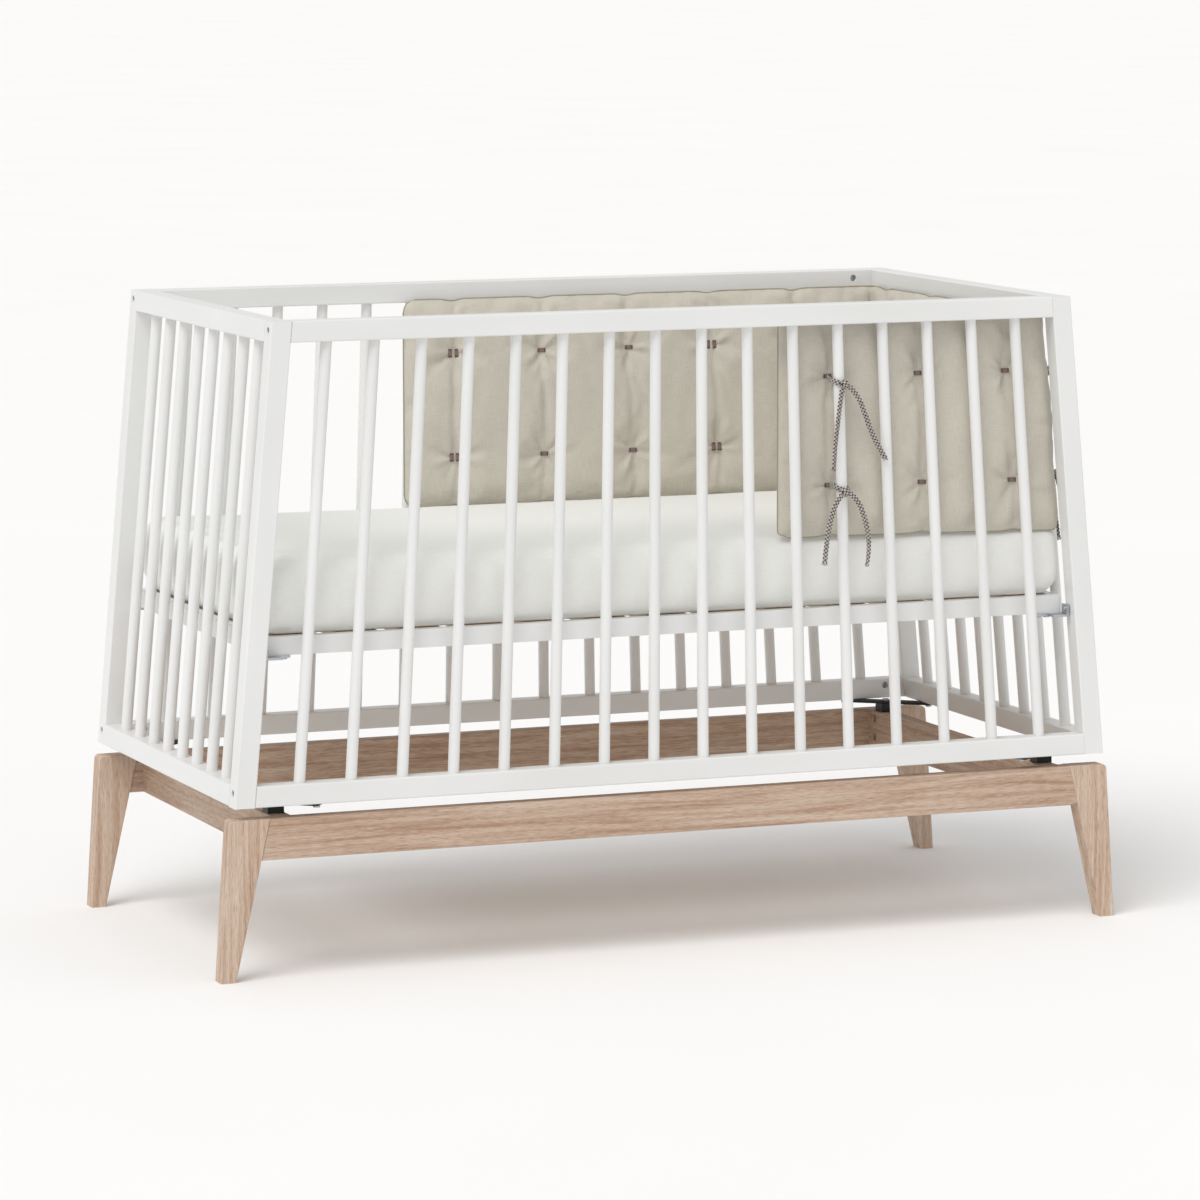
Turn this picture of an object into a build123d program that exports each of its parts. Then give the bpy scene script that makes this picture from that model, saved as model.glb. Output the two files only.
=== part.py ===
"""Slatted cot on a splayed oak stand, with a height-adjustable mattress base, mattress and bumper.

Millimetres. The origin is on the floor under the middle of the cot. +X runs along the length,
the front long side faces -Y, and +Z is up. Left is -X, right is +X, rear is +Y.
"""
from build123d import *
import math
import os

# ---------------------------------------------------------------- driving dimensions
# Body: a crate with upright long sides and end panels that lean in towards the top.
BODY_WIDTH = 665.0
BODY_BOTTOM = 245.0
BODY_TOP = 920.0
LENGTH_AT_BOTTOM = 1341.0
LENGTH_AT_TOP = 1220.0
TIMBER = 30.0            # square section of the posts and rails
ARRIS = 2.0              # rounding along the painted timber's long edges
LEAN = (LENGTH_AT_BOTTOM - LENGTH_AT_TOP) / 2 / (BODY_TOP - BODY_BOTTOM)

# Slats: round dowels glued into blind sockets in the rails.
SLAT_DIAMETER = 16.0
SOCKET_DEPTH = 12.0
SOCKET_CLEARANCE = 0.1
SIDE_SLATS = 16
SIDE_PITCH_TOP = 70.2    # the side slats fan out towards the bottom
SIDE_PITCH_BOTTOM = 76.2
END_SLATS = 8
END_PITCH = 69.0

# Bolts that join the side rails to the end panels.
BOLT_DIAMETER = 6.0
BOLT_HEAD_DIAMETER = 10.0
BOLT_HEAD_HEIGHT = 5.0
BOLT_LENGTH = 65.0
BOLT_RECESS = 1.5
BOLT_BELOW_TOP = 13.0
BOLT_ABOVE_BOTTOM = 20.0
BARREL_NUT_DIAMETER = 10.0
BARREL_NUT_LENGTH = 14.0
BARREL_NUT_FROM_TIP = 10.0
DRILL_CLEARANCE = 0.4

# Glued pins that join the end rails to the posts.
PIN_DIAMETER = 6.0
PIN_LENGTH = 40.0
PIN_BELOW_TOP = 23.0
PIN_ABOVE_BOTTOM = 8.0

# Stand: oak legs, aprons and cross members.
STAND_TOP = 228.0
STAND_FACE = 329.5       # distance of the legs' and aprons' outer face from the middle
LEG_TOP_OUTER = 677.0
LEG_FOOT_OUTER = 692.0
LEG_TOP_INNER = 617.5
LEG_FOOT_INNER = 670.0
LEG_TOP_THICKNESS = 28.0
LEG_FOOT_THICKNESS = 22.0
LEG_CORNER_RADIUS = 7.0
APRON_HEIGHT = 58.0
APRON_THICKNESS = 25.0
CROSS_INNER = 580.0
CROSS_OUTER = 609.0
OAK_ARRIS = 1.5

# Leg dowels, and the cams and pins that join the cross members to the aprons.
LEG_DOWEL_DIAMETER = 10.0
LEG_DOWEL_FROM = 605.0
LEG_DOWEL_TO = 650.0
LEG_DOWEL_HEIGHTS = (187.0, 211.0)
CAM_DIAMETER = 12.6
CAM_THICKNESS = 9.0
CAM_RECESS = 3.0
CAM_FROM_APRON = 22.0
CAM_HEIGHTS = (187.0, 217.0)
CAM_PIN_DIAMETER = 5.0
CAM_PIN_DEPTH = 10.0

# Steel corner brackets between the stand and the body.
BRACKET_FROM = (541.0, 317.0)
BRACKET_TO = (655.0, 231.0)
BRACKET_BAR = (20.0, 4.0)
BRACKET_BLOCK_X = 596.0
BRACKET_BLOCK = 24.0
BRACKET_SCREW_DIAMETER = 5.0
BRACKET_SCREW_LENGTH = 14.0
STAND_SCREW_DIAMETER = 6.0
STAND_SCREW_LENGTH = 36.0
SCREW_HEAD_DIAMETER = 10.0
SCREW_HEAD_HEIGHT = 3.0

# Mattress base: a painted frame with slats let into its rebate.
BASE_BOTTOM = 452.0
BASE_TOP = 478.0
BASE_HALF_LENGTH = 618.0
BASE_HALF_WIDTH = 297.0
BASE_RAIL = 30.0
BASE_CORNER_RADIUS = 6.0
REBATE_WIDTH = 14.0
REBATE_DEPTH = 10.0
BASE_SLATS = 13
BASE_SLAT_WIDTH = 60.0
BASE_SLAT_PITCH = 94.0
BASE_SCREW_DIAMETER = 7.0
BASE_SCREW_LENGTH = 60.0

# Hooks under the mattress base's corners.
HOOK_FROM = 577.0
HOOK_TO = 619.5
HOOK_THICKNESS = 3.5
HOOK_INSIDE = 272.0
HOOK_OUTSIDE = 300.0
HOOK_LUG_FROM = 594.0    # the lug reaches past the base to the post's inner face
HOOK_LUG_OUTSIDE = 318.0
HOOK_EAR_HEIGHT = 14.0
HOOK_BOLT_DIAMETER = 5.0
HOOK_BOLT_LENGTH = 15.0
HOOK_BOLT_PLACES = (583.0, 597.0)
HOOK_BOLT_Y = 288.0
HOOK_EAR_BOLT = (311.0, 459.5)
HOOK_EAR_BOLT_DIAMETER = 3.0
HOOK_EAR_HEAD_DIAMETER = 6.0

# Soft parts.
MATTRESS_HALF_LENGTH = 608.0
MATTRESS_HALF_WIDTH = 293.0
MATTRESS_HEIGHT = 105.0
MATTRESS_CORNER = 26.0
MATTRESS_TOP_EDGE = 22.0
MATTRESS_BOTTOM_EDGE = 16.0
SHEET_THICKNESS = 1.5
SHEET_GAP = 0.3
SHEET_HEM = 70.0         # how far the sheet reaches in under the mattress
BUMPER_THICKNESS = 22.0
BUMPER_SIDE_FACE = 301.5  # distance of the side panels' outer face from the middle
BUMPER_END_GAP = 2.0
BUMPER_TOP = 895.0
BUMPER_BACK_BOTTOM = 590.0
BUMPER_END_BOTTOM = 590.0
BUMPER_FRONT_BOTTOM = 584.0
BUMPER_BACK_FROM = -197.0
BUMPER_FRONT_FROM = 168.0
BUMPER_ROUNDING = 16.0
PANEL_GAP = 0.5

# Bumper ties: a flat braid round a slat, knotted, with two hanging ends.
TIE_WIDTH = 8.0
TIE_RING_INNER = 8.5
TIE_RING_OUTER = 12.0
TIE_KNOT_RADIUS = 8.0
TIE_KNOT_ALONG = 6.0
TIE_KNOT_OUT = 14.0
TIE_UPPER = 803.0
TIE_LOWER = 649.0

HALF_WIDTH = BODY_WIDTH / 2
HALF_TIMBER = TIMBER / 2
PANEL_Y = HALF_WIDTH - HALF_TIMBER        # middle of a side panel's thickness
RAIL_END = HALF_WIDTH - TIMBER            # where the end rails meet the posts
TOP_RAIL_UNDER = BODY_TOP - TIMBER
BOTTOM_RAIL_OVER = BODY_BOTTOM + TIMBER
APRON_INNER = STAND_FACE - APRON_THICKNESS
QUARTERS = {"rear_right": (1, 1), "rear_left": (-1, 1), "front_right": (1, -1), "front_left": (-1, -1)}


# ---------------------------------------------------------------- helpers
def end_face(z):
    """Distance of the leaning end panels' outer face from the middle at height z."""
    return LENGTH_AT_BOTTOM / 2 - LEAN * (z - BODY_BOTTOM)


def post_inner(z):
    """Distance of the posts' inner face from the middle at height z."""
    return end_face(z) - TIMBER


def end_middle(z):
    """Distance of the end panels' mid-plane from the middle at height z."""
    return end_face(z) - HALF_TIMBER


def leg_inner(z):
    """Distance of a leg's slanted inner edge from the middle at height z."""
    return LEG_TOP_INNER + (LEG_FOOT_INNER - LEG_TOP_INNER) * (STAND_TOP - z) / STAND_TOP


def save(name, *solids):
    """Write one node: a single solid, or a group of identical pieces."""
    shape = solids[0] if len(solids) == 1 else Compound(children=list(solids))
    export_step(shape, f"parts/{name}.step")


def side_prism(outline, y_from, y_to):
    """Extrude an outline of (x, z) points along Y."""
    face = Face(Polyline(*[(x, y_from, z) for x, z in outline], close=True))
    return extrude(face, y_to - y_from, dir=(0, 1, 0)).solid()


def block(x_range, y_range, z_range):
    """A box from its three ranges."""
    sizes = [high - low for low, high in (x_range, y_range, z_range)]
    corner = Pos(x_range[0], y_range[0], z_range[0])
    return corner * Box(*sizes, align=(Align.MIN, Align.MIN, Align.MIN))


def rod(start, end, diameter):
    """A round bar between two points."""
    along = Vector(*end) - Vector(*start)
    plane = Plane(origin=start, z_dir=along)
    return Solid.make_cylinder(diameter / 2, along.length, plane)


def eased(solid, radius):
    """Round a timber's long edges."""
    longest = max(edge.length for edge in solid.edges())
    return fillet([e for e in solid.edges() if e.length > 0.6 * longest], radius).solid()


def mirrored(solid, side_x, side_y):
    """Mirror a rear right piece into the quarter with these signs."""
    if side_x < 0:
        solid = mirror(solid, about=Plane.YZ)
    if side_y < 0:
        solid = mirror(solid, about=Plane.XZ)
    return solid


def in_quarters(*solids):
    """Copies of rear right pieces in all four quarters."""
    return [mirrored(s, *signs) for s in solids for signs in QUARTERS.values()]


# ---------------------------------------------------------------- slats
def side_slat_axis(index, y):
    """Both ends of a side slat's axis, inside its sockets."""
    step = index - (SIDE_SLATS - 1) / 2
    low = Vector(step * SIDE_PITCH_BOTTOM, y, BOTTOM_RAIL_OVER)
    high = Vector(step * SIDE_PITCH_TOP, y, TOP_RAIL_UNDER)
    along = (high - low).normalized() * SOCKET_DEPTH
    return low - along, high + along


def end_slat_axis(index, side_x):
    """Both ends of an end slat's axis, inside its sockets."""
    y = (index - (END_SLATS - 1) / 2) * END_PITCH
    low = Vector(side_x * end_middle(BOTTOM_RAIL_OVER), y, BOTTOM_RAIL_OVER)
    high = Vector(side_x * end_middle(TOP_RAIL_UNDER), y, TOP_RAIL_UNDER)
    along = (high - low).normalized() * SOCKET_DEPTH
    return low - along, high + along


def slats(axes):
    return [rod(tuple(low), tuple(high), SLAT_DIAMETER) for low, high in axes]


def socketed(rail, axes):
    """Cut the slats' blind sockets into a rail."""
    bore = SLAT_DIAMETER + 2 * SOCKET_CLEARANCE
    sockets = []
    for low, high in axes:
        past_end = (high - low).normalized() * SOCKET_CLEARANCE
        sockets.append(rod(tuple(low - past_end), tuple(high + past_end), bore))
    return (rail - sockets).solid()


# ---------------------------------------------------------------- body frame
BOLT_HEIGHTS = (BODY_BOTTOM + BOLT_ABOVE_BOTTOM, BODY_TOP - BOLT_BELOW_TOP)
PIN_HEIGHTS = (BODY_BOTTOM + PIN_ABOVE_BOTTOM, BODY_TOP - PIN_BELOW_TOP)


def bolt_seat(z):
    """Where the underside of a frame bolt's head sits."""
    return end_face(z) - BOLT_RECESS - BOLT_HEAD_HEIGHT


def bolt_tip(z):
    return bolt_seat(z) - BOLT_LENGTH


def frame_bolt(z):
    seat = bolt_seat(z)
    shank = rod((bolt_tip(z), PANEL_Y, z), (seat, PANEL_Y, z), BOLT_DIAMETER)
    head = rod((seat, PANEL_Y, z), (seat + BOLT_HEAD_HEIGHT, PANEL_Y, z), BOLT_HEAD_DIAMETER)
    key = Plane(origin=(seat + BOLT_HEAD_HEIGHT, PANEL_Y, z), z_dir=(-1, 0, 0))
    socket = extrude(key * RegularPolygon(radius=BOLT_DIAMETER / 2, side_count=6), BOLT_HEAD_HEIGHT / 2)
    return (shank + head - socket).solid()


def bolt_bore(z):
    """Clearance hole and counterbore of a frame bolt, through the post and into the side rail."""
    tip = bolt_tip(z) - 1
    shank = rod((tip, PANEL_Y, z), (end_face(z) + TIMBER, PANEL_Y, z), BOLT_DIAMETER + DRILL_CLEARANCE)
    counterbore = rod((bolt_seat(z), PANEL_Y, z), (end_face(z) + TIMBER, PANEL_Y, z),
                      BOLT_HEAD_DIAMETER + DRILL_CLEARANCE)
    return [shank, counterbore]


def barrel_nut_middle(z):
    return bolt_tip(z) + BARREL_NUT_FROM_TIP


def barrel_nut(z):
    x = barrel_nut_middle(z)
    half = BARREL_NUT_LENGTH / 2
    body = rod((x, PANEL_Y - half, z), (x, PANEL_Y + half, z), BARREL_NUT_DIAMETER)
    thread = rod((x - TIMBER, PANEL_Y, z), (x + TIMBER, PANEL_Y, z), BOLT_DIAMETER + DRILL_CLEARANCE / 4)
    return (body - thread).solid()


def barrel_nut_bore(z):
    """Blind cross hole from the side rail's inner face."""
    x = barrel_nut_middle(z)
    deep = PANEL_Y + BARREL_NUT_LENGTH / 2
    return rod((x, PANEL_Y - TIMBER, z), (x, deep, z), BARREL_NUT_DIAMETER + DRILL_CLEARANCE)


def glue_pin(z, clearance=0.0):
    x = end_middle(z)
    half = PIN_LENGTH / 2 + clearance
    return rod((x, RAIL_END - half, z), (x, RAIL_END + half, z), PIN_DIAMETER + clearance)


def post():
    outline = [(post_inner(BODY_BOTTOM), BODY_BOTTOM), (end_face(BODY_BOTTOM), BODY_BOTTOM),
               (end_face(BODY_TOP), BODY_TOP), (post_inner(BODY_TOP), BODY_TOP)]
    timber = eased(side_prism(outline, RAIL_END, HALF_WIDTH), ARRIS)
    holes = [hole for z in BOLT_HEIGHTS for hole in bolt_bore(z)]
    holes += [glue_pin(z, SOCKET_CLEARANCE) for z in PIN_HEIGHTS]
    return (timber - holes).solid()


def side_rail(low, side_y, bolt_z):
    """A long rail from post to post, with its slat sockets and bolt holes."""
    high = low + TIMBER
    outline = [(-post_inner(low), low), (post_inner(low), low),
               (post_inner(high), high), (-post_inner(high), high)]
    y_from = RAIL_END if side_y > 0 else -HALF_WIDTH
    timber = eased(side_prism(outline, y_from, y_from + TIMBER), ARRIS)
    holes = bolt_bore(bolt_z)[:1] + [barrel_nut_bore(bolt_z)]
    cuts = [mirrored(hole, side_x, side_y) for hole in holes for side_x in (1, -1)]
    axes = [side_slat_axis(i, side_y * PANEL_Y) for i in range(SIDE_SLATS)]
    return socketed((timber - cuts).solid(), axes)


def end_rail(low, side_x, pin_z):
    """A short rail between two posts, flush with their outer faces."""
    high = low + TIMBER
    outline = [(side_x * post_inner(low), low), (side_x * end_face(low), low),
               (side_x * end_face(high), high), (side_x * post_inner(high), high)]
    timber = eased(side_prism(outline, -RAIL_END, RAIL_END), ARRIS)
    pins = [mirrored(glue_pin(pin_z, SOCKET_CLEARANCE), side_x, side_y) for side_y in (1, -1)]
    axes = [end_slat_axis(i, side_x) for i in range(END_SLATS)]
    return socketed((timber - pins).solid(), axes)


# ---------------------------------------------------------------- stand
def leg():
    outline = [(LEG_TOP_INNER, STAND_TOP), (LEG_FOOT_INNER, 0.0), (LEG_FOOT_OUTER, 0.0), (LEG_TOP_OUTER, STAND_TOP)]
    timber = side_prism(outline, STAND_FACE - LEG_TOP_THICKNESS, STAND_FACE)
    face = STAND_FACE - LEG_TOP_THICKNESS
    taper = LEG_TOP_THICKNESS - LEG_FOOT_THICKNESS
    wedge_face = Face(Polyline((0, face, STAND_TOP), (0, face + taper, 0), (0, face, 0), close=True))
    timber = (timber - extrude(wedge_face, LEG_FOOT_OUTER + TIMBER, dir=(1, 0, 0))).solid()
    corner = timber.edges().filter_by(Axis.Y).sort_by(Axis.X).filter_by(
        lambda e: e.center().Z > STAND_TOP - 1)[-1]
    timber = fillet([corner], LEG_CORNER_RADIUS).solid()
    timber = eased(timber, OAK_ARRIS)
    return (timber - [leg_dowel(z, SOCKET_CLEARANCE) for z in LEG_DOWEL_HEIGHTS]).solid()


def leg_dowel(z, clearance=0.0):
    y = STAND_FACE - APRON_THICKNESS / 2
    return rod((LEG_DOWEL_FROM - clearance, y, z), (LEG_DOWEL_TO + clearance, y, z),
               LEG_DOWEL_DIAMETER + clearance)


def apron(side_y):
    low = STAND_TOP - APRON_HEIGHT
    outline = [(-leg_inner(low), low), (leg_inner(low), low), (leg_inner(STAND_TOP), STAND_TOP),
               (-leg_inner(STAND_TOP), STAND_TOP)]
    y_from = APRON_INNER if side_y > 0 else -STAND_FACE
    timber = eased(side_prism(outline, y_from, y_from + APRON_THICKNESS), OAK_ARRIS)
    holes = [leg_dowel(z, SOCKET_CLEARANCE) for z in LEG_DOWEL_HEIGHTS]
    holes += [cam_pin(z, SOCKET_CLEARANCE) for z in CAM_HEIGHTS]
    return (timber - [mirrored(hole, side_x, side_y) for hole in holes for side_x in (1, -1)]).solid()


CAM_X = CROSS_INNER + CAM_RECESS + CAM_THICKNESS / 2
CAM_Y = APRON_INNER - CAM_FROM_APRON


def cam_lock(z):
    x = CROSS_INNER + CAM_RECESS
    drum = rod((x, CAM_Y, z), (x + CAM_THICKNESS, CAM_Y, z), CAM_DIAMETER)
    slot = Pos(x, CAM_Y, z) * Box(CAM_THICKNESS / 3, CAM_DIAMETER, CAM_PIN_DIAMETER / 3)
    return (drum - slot).solid()


def cam_bore(z):
    depth = CAM_RECESS + CAM_THICKNESS
    return rod((CROSS_INNER - depth, CAM_Y, z), (CROSS_INNER + depth, CAM_Y, z), CAM_DIAMETER + DRILL_CLEARANCE)


def cam_pin(z, clearance=0.0):
    start = CAM_Y + CAM_DIAMETER / 2 + SOCKET_CLEARANCE - clearance
    return rod((CAM_X, start, z), (CAM_X, APRON_INNER + CAM_PIN_DEPTH + clearance, z),
               CAM_PIN_DIAMETER + clearance)


def cross_member(side_x):
    timber = eased(block((CROSS_INNER, CROSS_OUTER), (-APRON_INNER, APRON_INNER),
                         (STAND_TOP - APRON_HEIGHT, STAND_TOP)).solid(), OAK_ARRIS)
    holes = [cam_bore(z) for z in CAM_HEIGHTS] + [cam_pin(z, SOCKET_CLEARANCE) for z in CAM_HEIGHTS]
    holes.append(stand_screw_bore())
    cuts = [mirrored(hole, 1, side_y) for hole in holes for side_y in (1, -1)]
    return mirrored((timber - cuts).solid(), side_x, 1)


# ---------------------------------------------------------------- brackets
def bracket_line(x):
    """The y of the bracket bar's middle line at x."""
    (x0, y0), (x1, y1) = BRACKET_FROM, BRACKET_TO
    return y0 + (y1 - y0) * (x - x0) / (x1 - x0)


BRACKET_ANGLE = math.degrees(math.atan2(BRACKET_TO[1] - BRACKET_FROM[1], BRACKET_TO[0] - BRACKET_FROM[0]))
BLOCK_PLACE = (BRACKET_BLOCK_X, bracket_line(BRACKET_BLOCK_X))


def corner_bracket():
    """A flat bar under the body's corner, welded to a block that stands on the cross member."""
    width, thickness = BRACKET_BAR
    middle = [(a + b) / 2 for a, b in zip(BRACKET_FROM, BRACKET_TO)]
    length = math.dist(BRACKET_FROM, BRACKET_TO)
    bar = Box(length, width, thickness, align=(Align.CENTER, Align.CENTER, Align.MAX))
    bar = Pos(*middle, BODY_BOTTOM) * Rot(0, 0, BRACKET_ANGLE) * bar
    foot_height = BODY_BOTTOM - thickness - STAND_TOP
    foot = Box(BRACKET_BLOCK, BRACKET_BLOCK, foot_height, align=(Align.CENTER, Align.CENTER, Align.MIN))
    foot = Pos(*BLOCK_PLACE, STAND_TOP) * foot
    holes = [rod((*place, STAND_TOP - 1), (*place, BODY_BOTTOM + 1), diameter + DRILL_CLEARANCE)
             for place, diameter in [(bracket_end(0), BRACKET_SCREW_DIAMETER),
                                     (bracket_end(1), BRACKET_SCREW_DIAMETER),
                                     (BLOCK_PLACE, STAND_SCREW_DIAMETER)]]
    return (bar + foot - holes).solid()


def bracket_end(which):
    """The screw hole near one end of the bar."""
    start, end = (Vector(*p) for p in (BRACKET_FROM, BRACKET_TO))
    inset = (end - start).normalized() * (BRACKET_BAR[0] / 4)
    return tuple((start + inset) if which == 0 else (end - inset))[:2]


def pan_screw(place, seat, tip, diameter):
    """A screw along Z whose head sits on seat and whose shank runs to tip."""
    way = 1 if seat > tip else -1
    shank = rod((*place, tip), (*place, seat), diameter)
    head = rod((*place, seat), (*place, seat + way * SCREW_HEAD_HEIGHT), SCREW_HEAD_DIAMETER)
    return (shank + head).solid()


def bracket_screws():
    under_bar = BODY_BOTTOM - BRACKET_BAR[1]
    tip = BODY_BOTTOM + BRACKET_SCREW_LENGTH
    up = [pan_screw(bracket_end(k), under_bar, tip, BRACKET_SCREW_DIAMETER) for k in (0, 1)]
    down = pan_screw(BLOCK_PLACE, BODY_BOTTOM, BODY_BOTTOM - STAND_SCREW_LENGTH, STAND_SCREW_DIAMETER)
    return up + [down]


def stand_screw_bore():
    depth = BODY_BOTTOM - STAND_SCREW_LENGTH - 1
    return rod((*BLOCK_PLACE, depth), (*BLOCK_PLACE, BODY_BOTTOM), STAND_SCREW_DIAMETER + SOCKET_CLEARANCE)


def bracket_pilot(which):
    """Pilot hole for a bracket screw in the body's bottom rail."""
    place = bracket_end(which)
    return rod((*place, BODY_BOTTOM - 1), (*place, BODY_BOTTOM + BRACKET_SCREW_LENGTH + 1),
               BRACKET_SCREW_DIAMETER + SOCKET_CLEARANCE)


# ---------------------------------------------------------------- mattress base
def rebate(x_from, x_to, y_from, y_to):
    return block((x_from, x_to), (y_from, y_to), (BASE_TOP - REBATE_DEPTH, BASE_TOP + 1))


def base_long_rail():
    inner = BASE_HALF_WIDTH - BASE_RAIL
    rail = block((-BASE_HALF_LENGTH, BASE_HALF_LENGTH), (inner, BASE_HALF_WIDTH), (BASE_BOTTOM, BASE_TOP)).solid()
    corners = [e for e in rail.edges().filter_by(Axis.Z) if e.center().Y > inner + 1]
    rail = fillet(corners, BASE_CORNER_RADIUS).solid()
    inside = BASE_HALF_LENGTH - BASE_RAIL + REBATE_WIDTH
    rail -= rebate(-inside, inside, inner - 1, inner + REBATE_WIDTH)
    screws = [mirrored(base_screw(SOCKET_CLEARANCE), side_x, 1) for side_x in (1, -1)]
    bolts = [mirrored(hook_bolt_bore(x), side_x, 1) for x in HOOK_BOLT_PLACES for side_x in (1, -1)]
    return (rail - screws - bolts).solid()


def base_end_rail():
    inner = BASE_HALF_LENGTH - BASE_RAIL
    half = BASE_HALF_WIDTH - BASE_RAIL
    rail = block((inner, BASE_HALF_LENGTH), (-half, half), (BASE_BOTTOM, BASE_TOP)).solid()
    rail -= rebate(inner - 1, inner + REBATE_WIDTH, -half - 1, half + 1)
    return (rail - [mirrored(base_screw(SOCKET_CLEARANCE), 1, side_y) for side_y in (1, -1)]).solid()


def base_screw(clearance=0.0):
    """Confirmat screw through a long rail into an end rail's end grain."""
    x = BASE_HALF_LENGTH - HALF_TIMBER / 2
    z = (BASE_BOTTOM + BASE_TOP) / 2 - 3
    diameter = BASE_SCREW_DIAMETER + clearance
    shank = rod((x, BASE_HALF_WIDTH - BASE_SCREW_LENGTH - clearance, z), (x, BASE_HALF_WIDTH, z), diameter)
    head = rod((x, BASE_HALF_WIDTH - SCREW_HEAD_HEIGHT, z), (x, BASE_HALF_WIDTH, z), SCREW_HEAD_DIAMETER + clearance)
    return (shank + head).solid()


def base_slat(index):
    x = (index - (BASE_SLATS - 1) / 2) * BASE_SLAT_PITCH
    half_width = BASE_SLAT_WIDTH / 2
    half_length = BASE_HALF_WIDTH - BASE_RAIL + REBATE_WIDTH - SHEET_GAP
    slat = block((x - half_width, x + half_width), (-half_length, half_length), (BASE_TOP - REBATE_DEPTH, BASE_TOP))
    return eased(slat.solid(), OAK_ARRIS)


def hook():
    """A steel tongue under the base's corner, with an ear beside the post."""
    under = BASE_BOTTOM - HOOK_THICKNESS
    tongue = block((HOOK_FROM, HOOK_TO), (HOOK_INSIDE, HOOK_OUTSIDE), (under, BASE_BOTTOM))
    lug = block((HOOK_LUG_FROM, HOOK_TO), (HOOK_OUTSIDE, HOOK_LUG_OUTSIDE), (under, BASE_BOTTOM))
    ear = block((HOOK_TO - HOOK_THICKNESS, HOOK_TO), (HOOK_OUTSIDE, HOOK_LUG_OUTSIDE),
                (under, BASE_BOTTOM + HOOK_EAR_HEIGHT))
    holes = [hook_bolt_bore(x) for x in HOOK_BOLT_PLACES]
    holes.append(ear_rod(HOOK_LUG_FROM, HOOK_TO + 1, HOOK_EAR_BOLT_DIAMETER + SOCKET_CLEARANCE))
    return (tongue + lug + ear - holes).solid()


def hook_bolt_bore(x):
    return rod((x, HOOK_BOLT_Y, BASE_BOTTOM - TIMBER), (x, HOOK_BOLT_Y, BASE_BOTTOM + HOOK_BOLT_LENGTH + 1),
               HOOK_BOLT_DIAMETER + SOCKET_CLEARANCE)


def ear_rod(x_from, x_to, diameter):
    """A round bar along the ear's bolt."""
    return rod((x_from, *HOOK_EAR_BOLT), (x_to, *HOOK_EAR_BOLT), diameter)


def hook_bolts():
    under = BASE_BOTTOM - HOOK_THICKNESS
    tip = BASE_BOTTOM + HOOK_BOLT_LENGTH
    up = [pan_screw((x, HOOK_BOLT_Y), under, tip, HOOK_BOLT_DIAMETER) for x in HOOK_BOLT_PLACES]
    seat = HOOK_TO - HOOK_THICKNESS
    shank = ear_rod(seat, HOOK_TO, HOOK_EAR_BOLT_DIAMETER)
    head = ear_rod(seat - SCREW_HEAD_HEIGHT, seat, HOOK_EAR_HEAD_DIAMETER)
    return up + [(shank + head).solid()]


# ---------------------------------------------------------------- mattress, sheet and bumper
SHEET_LIFT = SHEET_THICKNESS + SHEET_GAP


def mattress(grow=0.0):
    """The mattress, or the space it takes when it is grown on every side."""
    half_length, half_width = MATTRESS_HALF_LENGTH + grow, MATTRESS_HALF_WIDTH + grow
    low, high = BASE_TOP + SHEET_LIFT - grow, BASE_TOP + MATTRESS_HEIGHT - SHEET_LIFT + grow
    shape = block((-half_length, half_length), (-half_width, half_width), (low, high)).solid()
    shape = fillet(shape.edges().filter_by(Axis.Z), MATTRESS_CORNER + grow).solid()
    for face, radius in ((-1, MATTRESS_TOP_EDGE), (0, MATTRESS_BOTTOM_EDGE)):
        shape = fillet(shape.faces().sort_by(Axis.Z)[face].edges(), radius + grow).solid()
    return shape


def fitted_sheet():
    """A thin skin round the mattress, open underneath inside its elastic hem."""
    half_length = MATTRESS_HALF_LENGTH - SHEET_HEM
    half_width = MATTRESS_HALF_WIDTH - SHEET_HEM
    opening = block((-half_length, half_length), (-half_width, half_width),
                    (BASE_TOP - 1, BASE_TOP + SHEET_LIFT + 1))
    return (mattress(SHEET_LIFT) - mattress(SHEET_GAP) - opening).solid()


def bumper_side(x_from, low, side_y):
    """An upright bumper panel along a side, from x_from to the leaning right end."""
    high = BUMPER_TOP
    reach = [post_inner(z) - BUMPER_END_GAP for z in (low, high)]
    outline = [(x_from, low), (reach[0], low), (reach[1], high), (x_from, high)]
    y_from = BUMPER_SIDE_FACE - BUMPER_THICKNESS if side_y > 0 else -BUMPER_SIDE_FACE
    panel = side_prism(outline, y_from, y_from + BUMPER_THICKNESS)
    corners = [e for e in panel.edges().filter_by(Axis.Y) if e.center().X < x_from + 1]
    panel = fillet(corners, BUMPER_ROUNDING).solid()
    return panel


def bumper_end():
    """The leaning bumper panel across the right end, between the two side panels."""
    low, high = BUMPER_END_BOTTOM, BUMPER_TOP
    faces = [post_inner(z) - BUMPER_END_GAP for z in (low, high)]
    outline = [(faces[0] - BUMPER_THICKNESS, low), (faces[0], low), (faces[1], high),
               (faces[1] - BUMPER_THICKNESS, high)]
    half = BUMPER_SIDE_FACE - BUMPER_THICKNESS - PANEL_GAP
    return side_prism(outline, -half, half)


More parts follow.
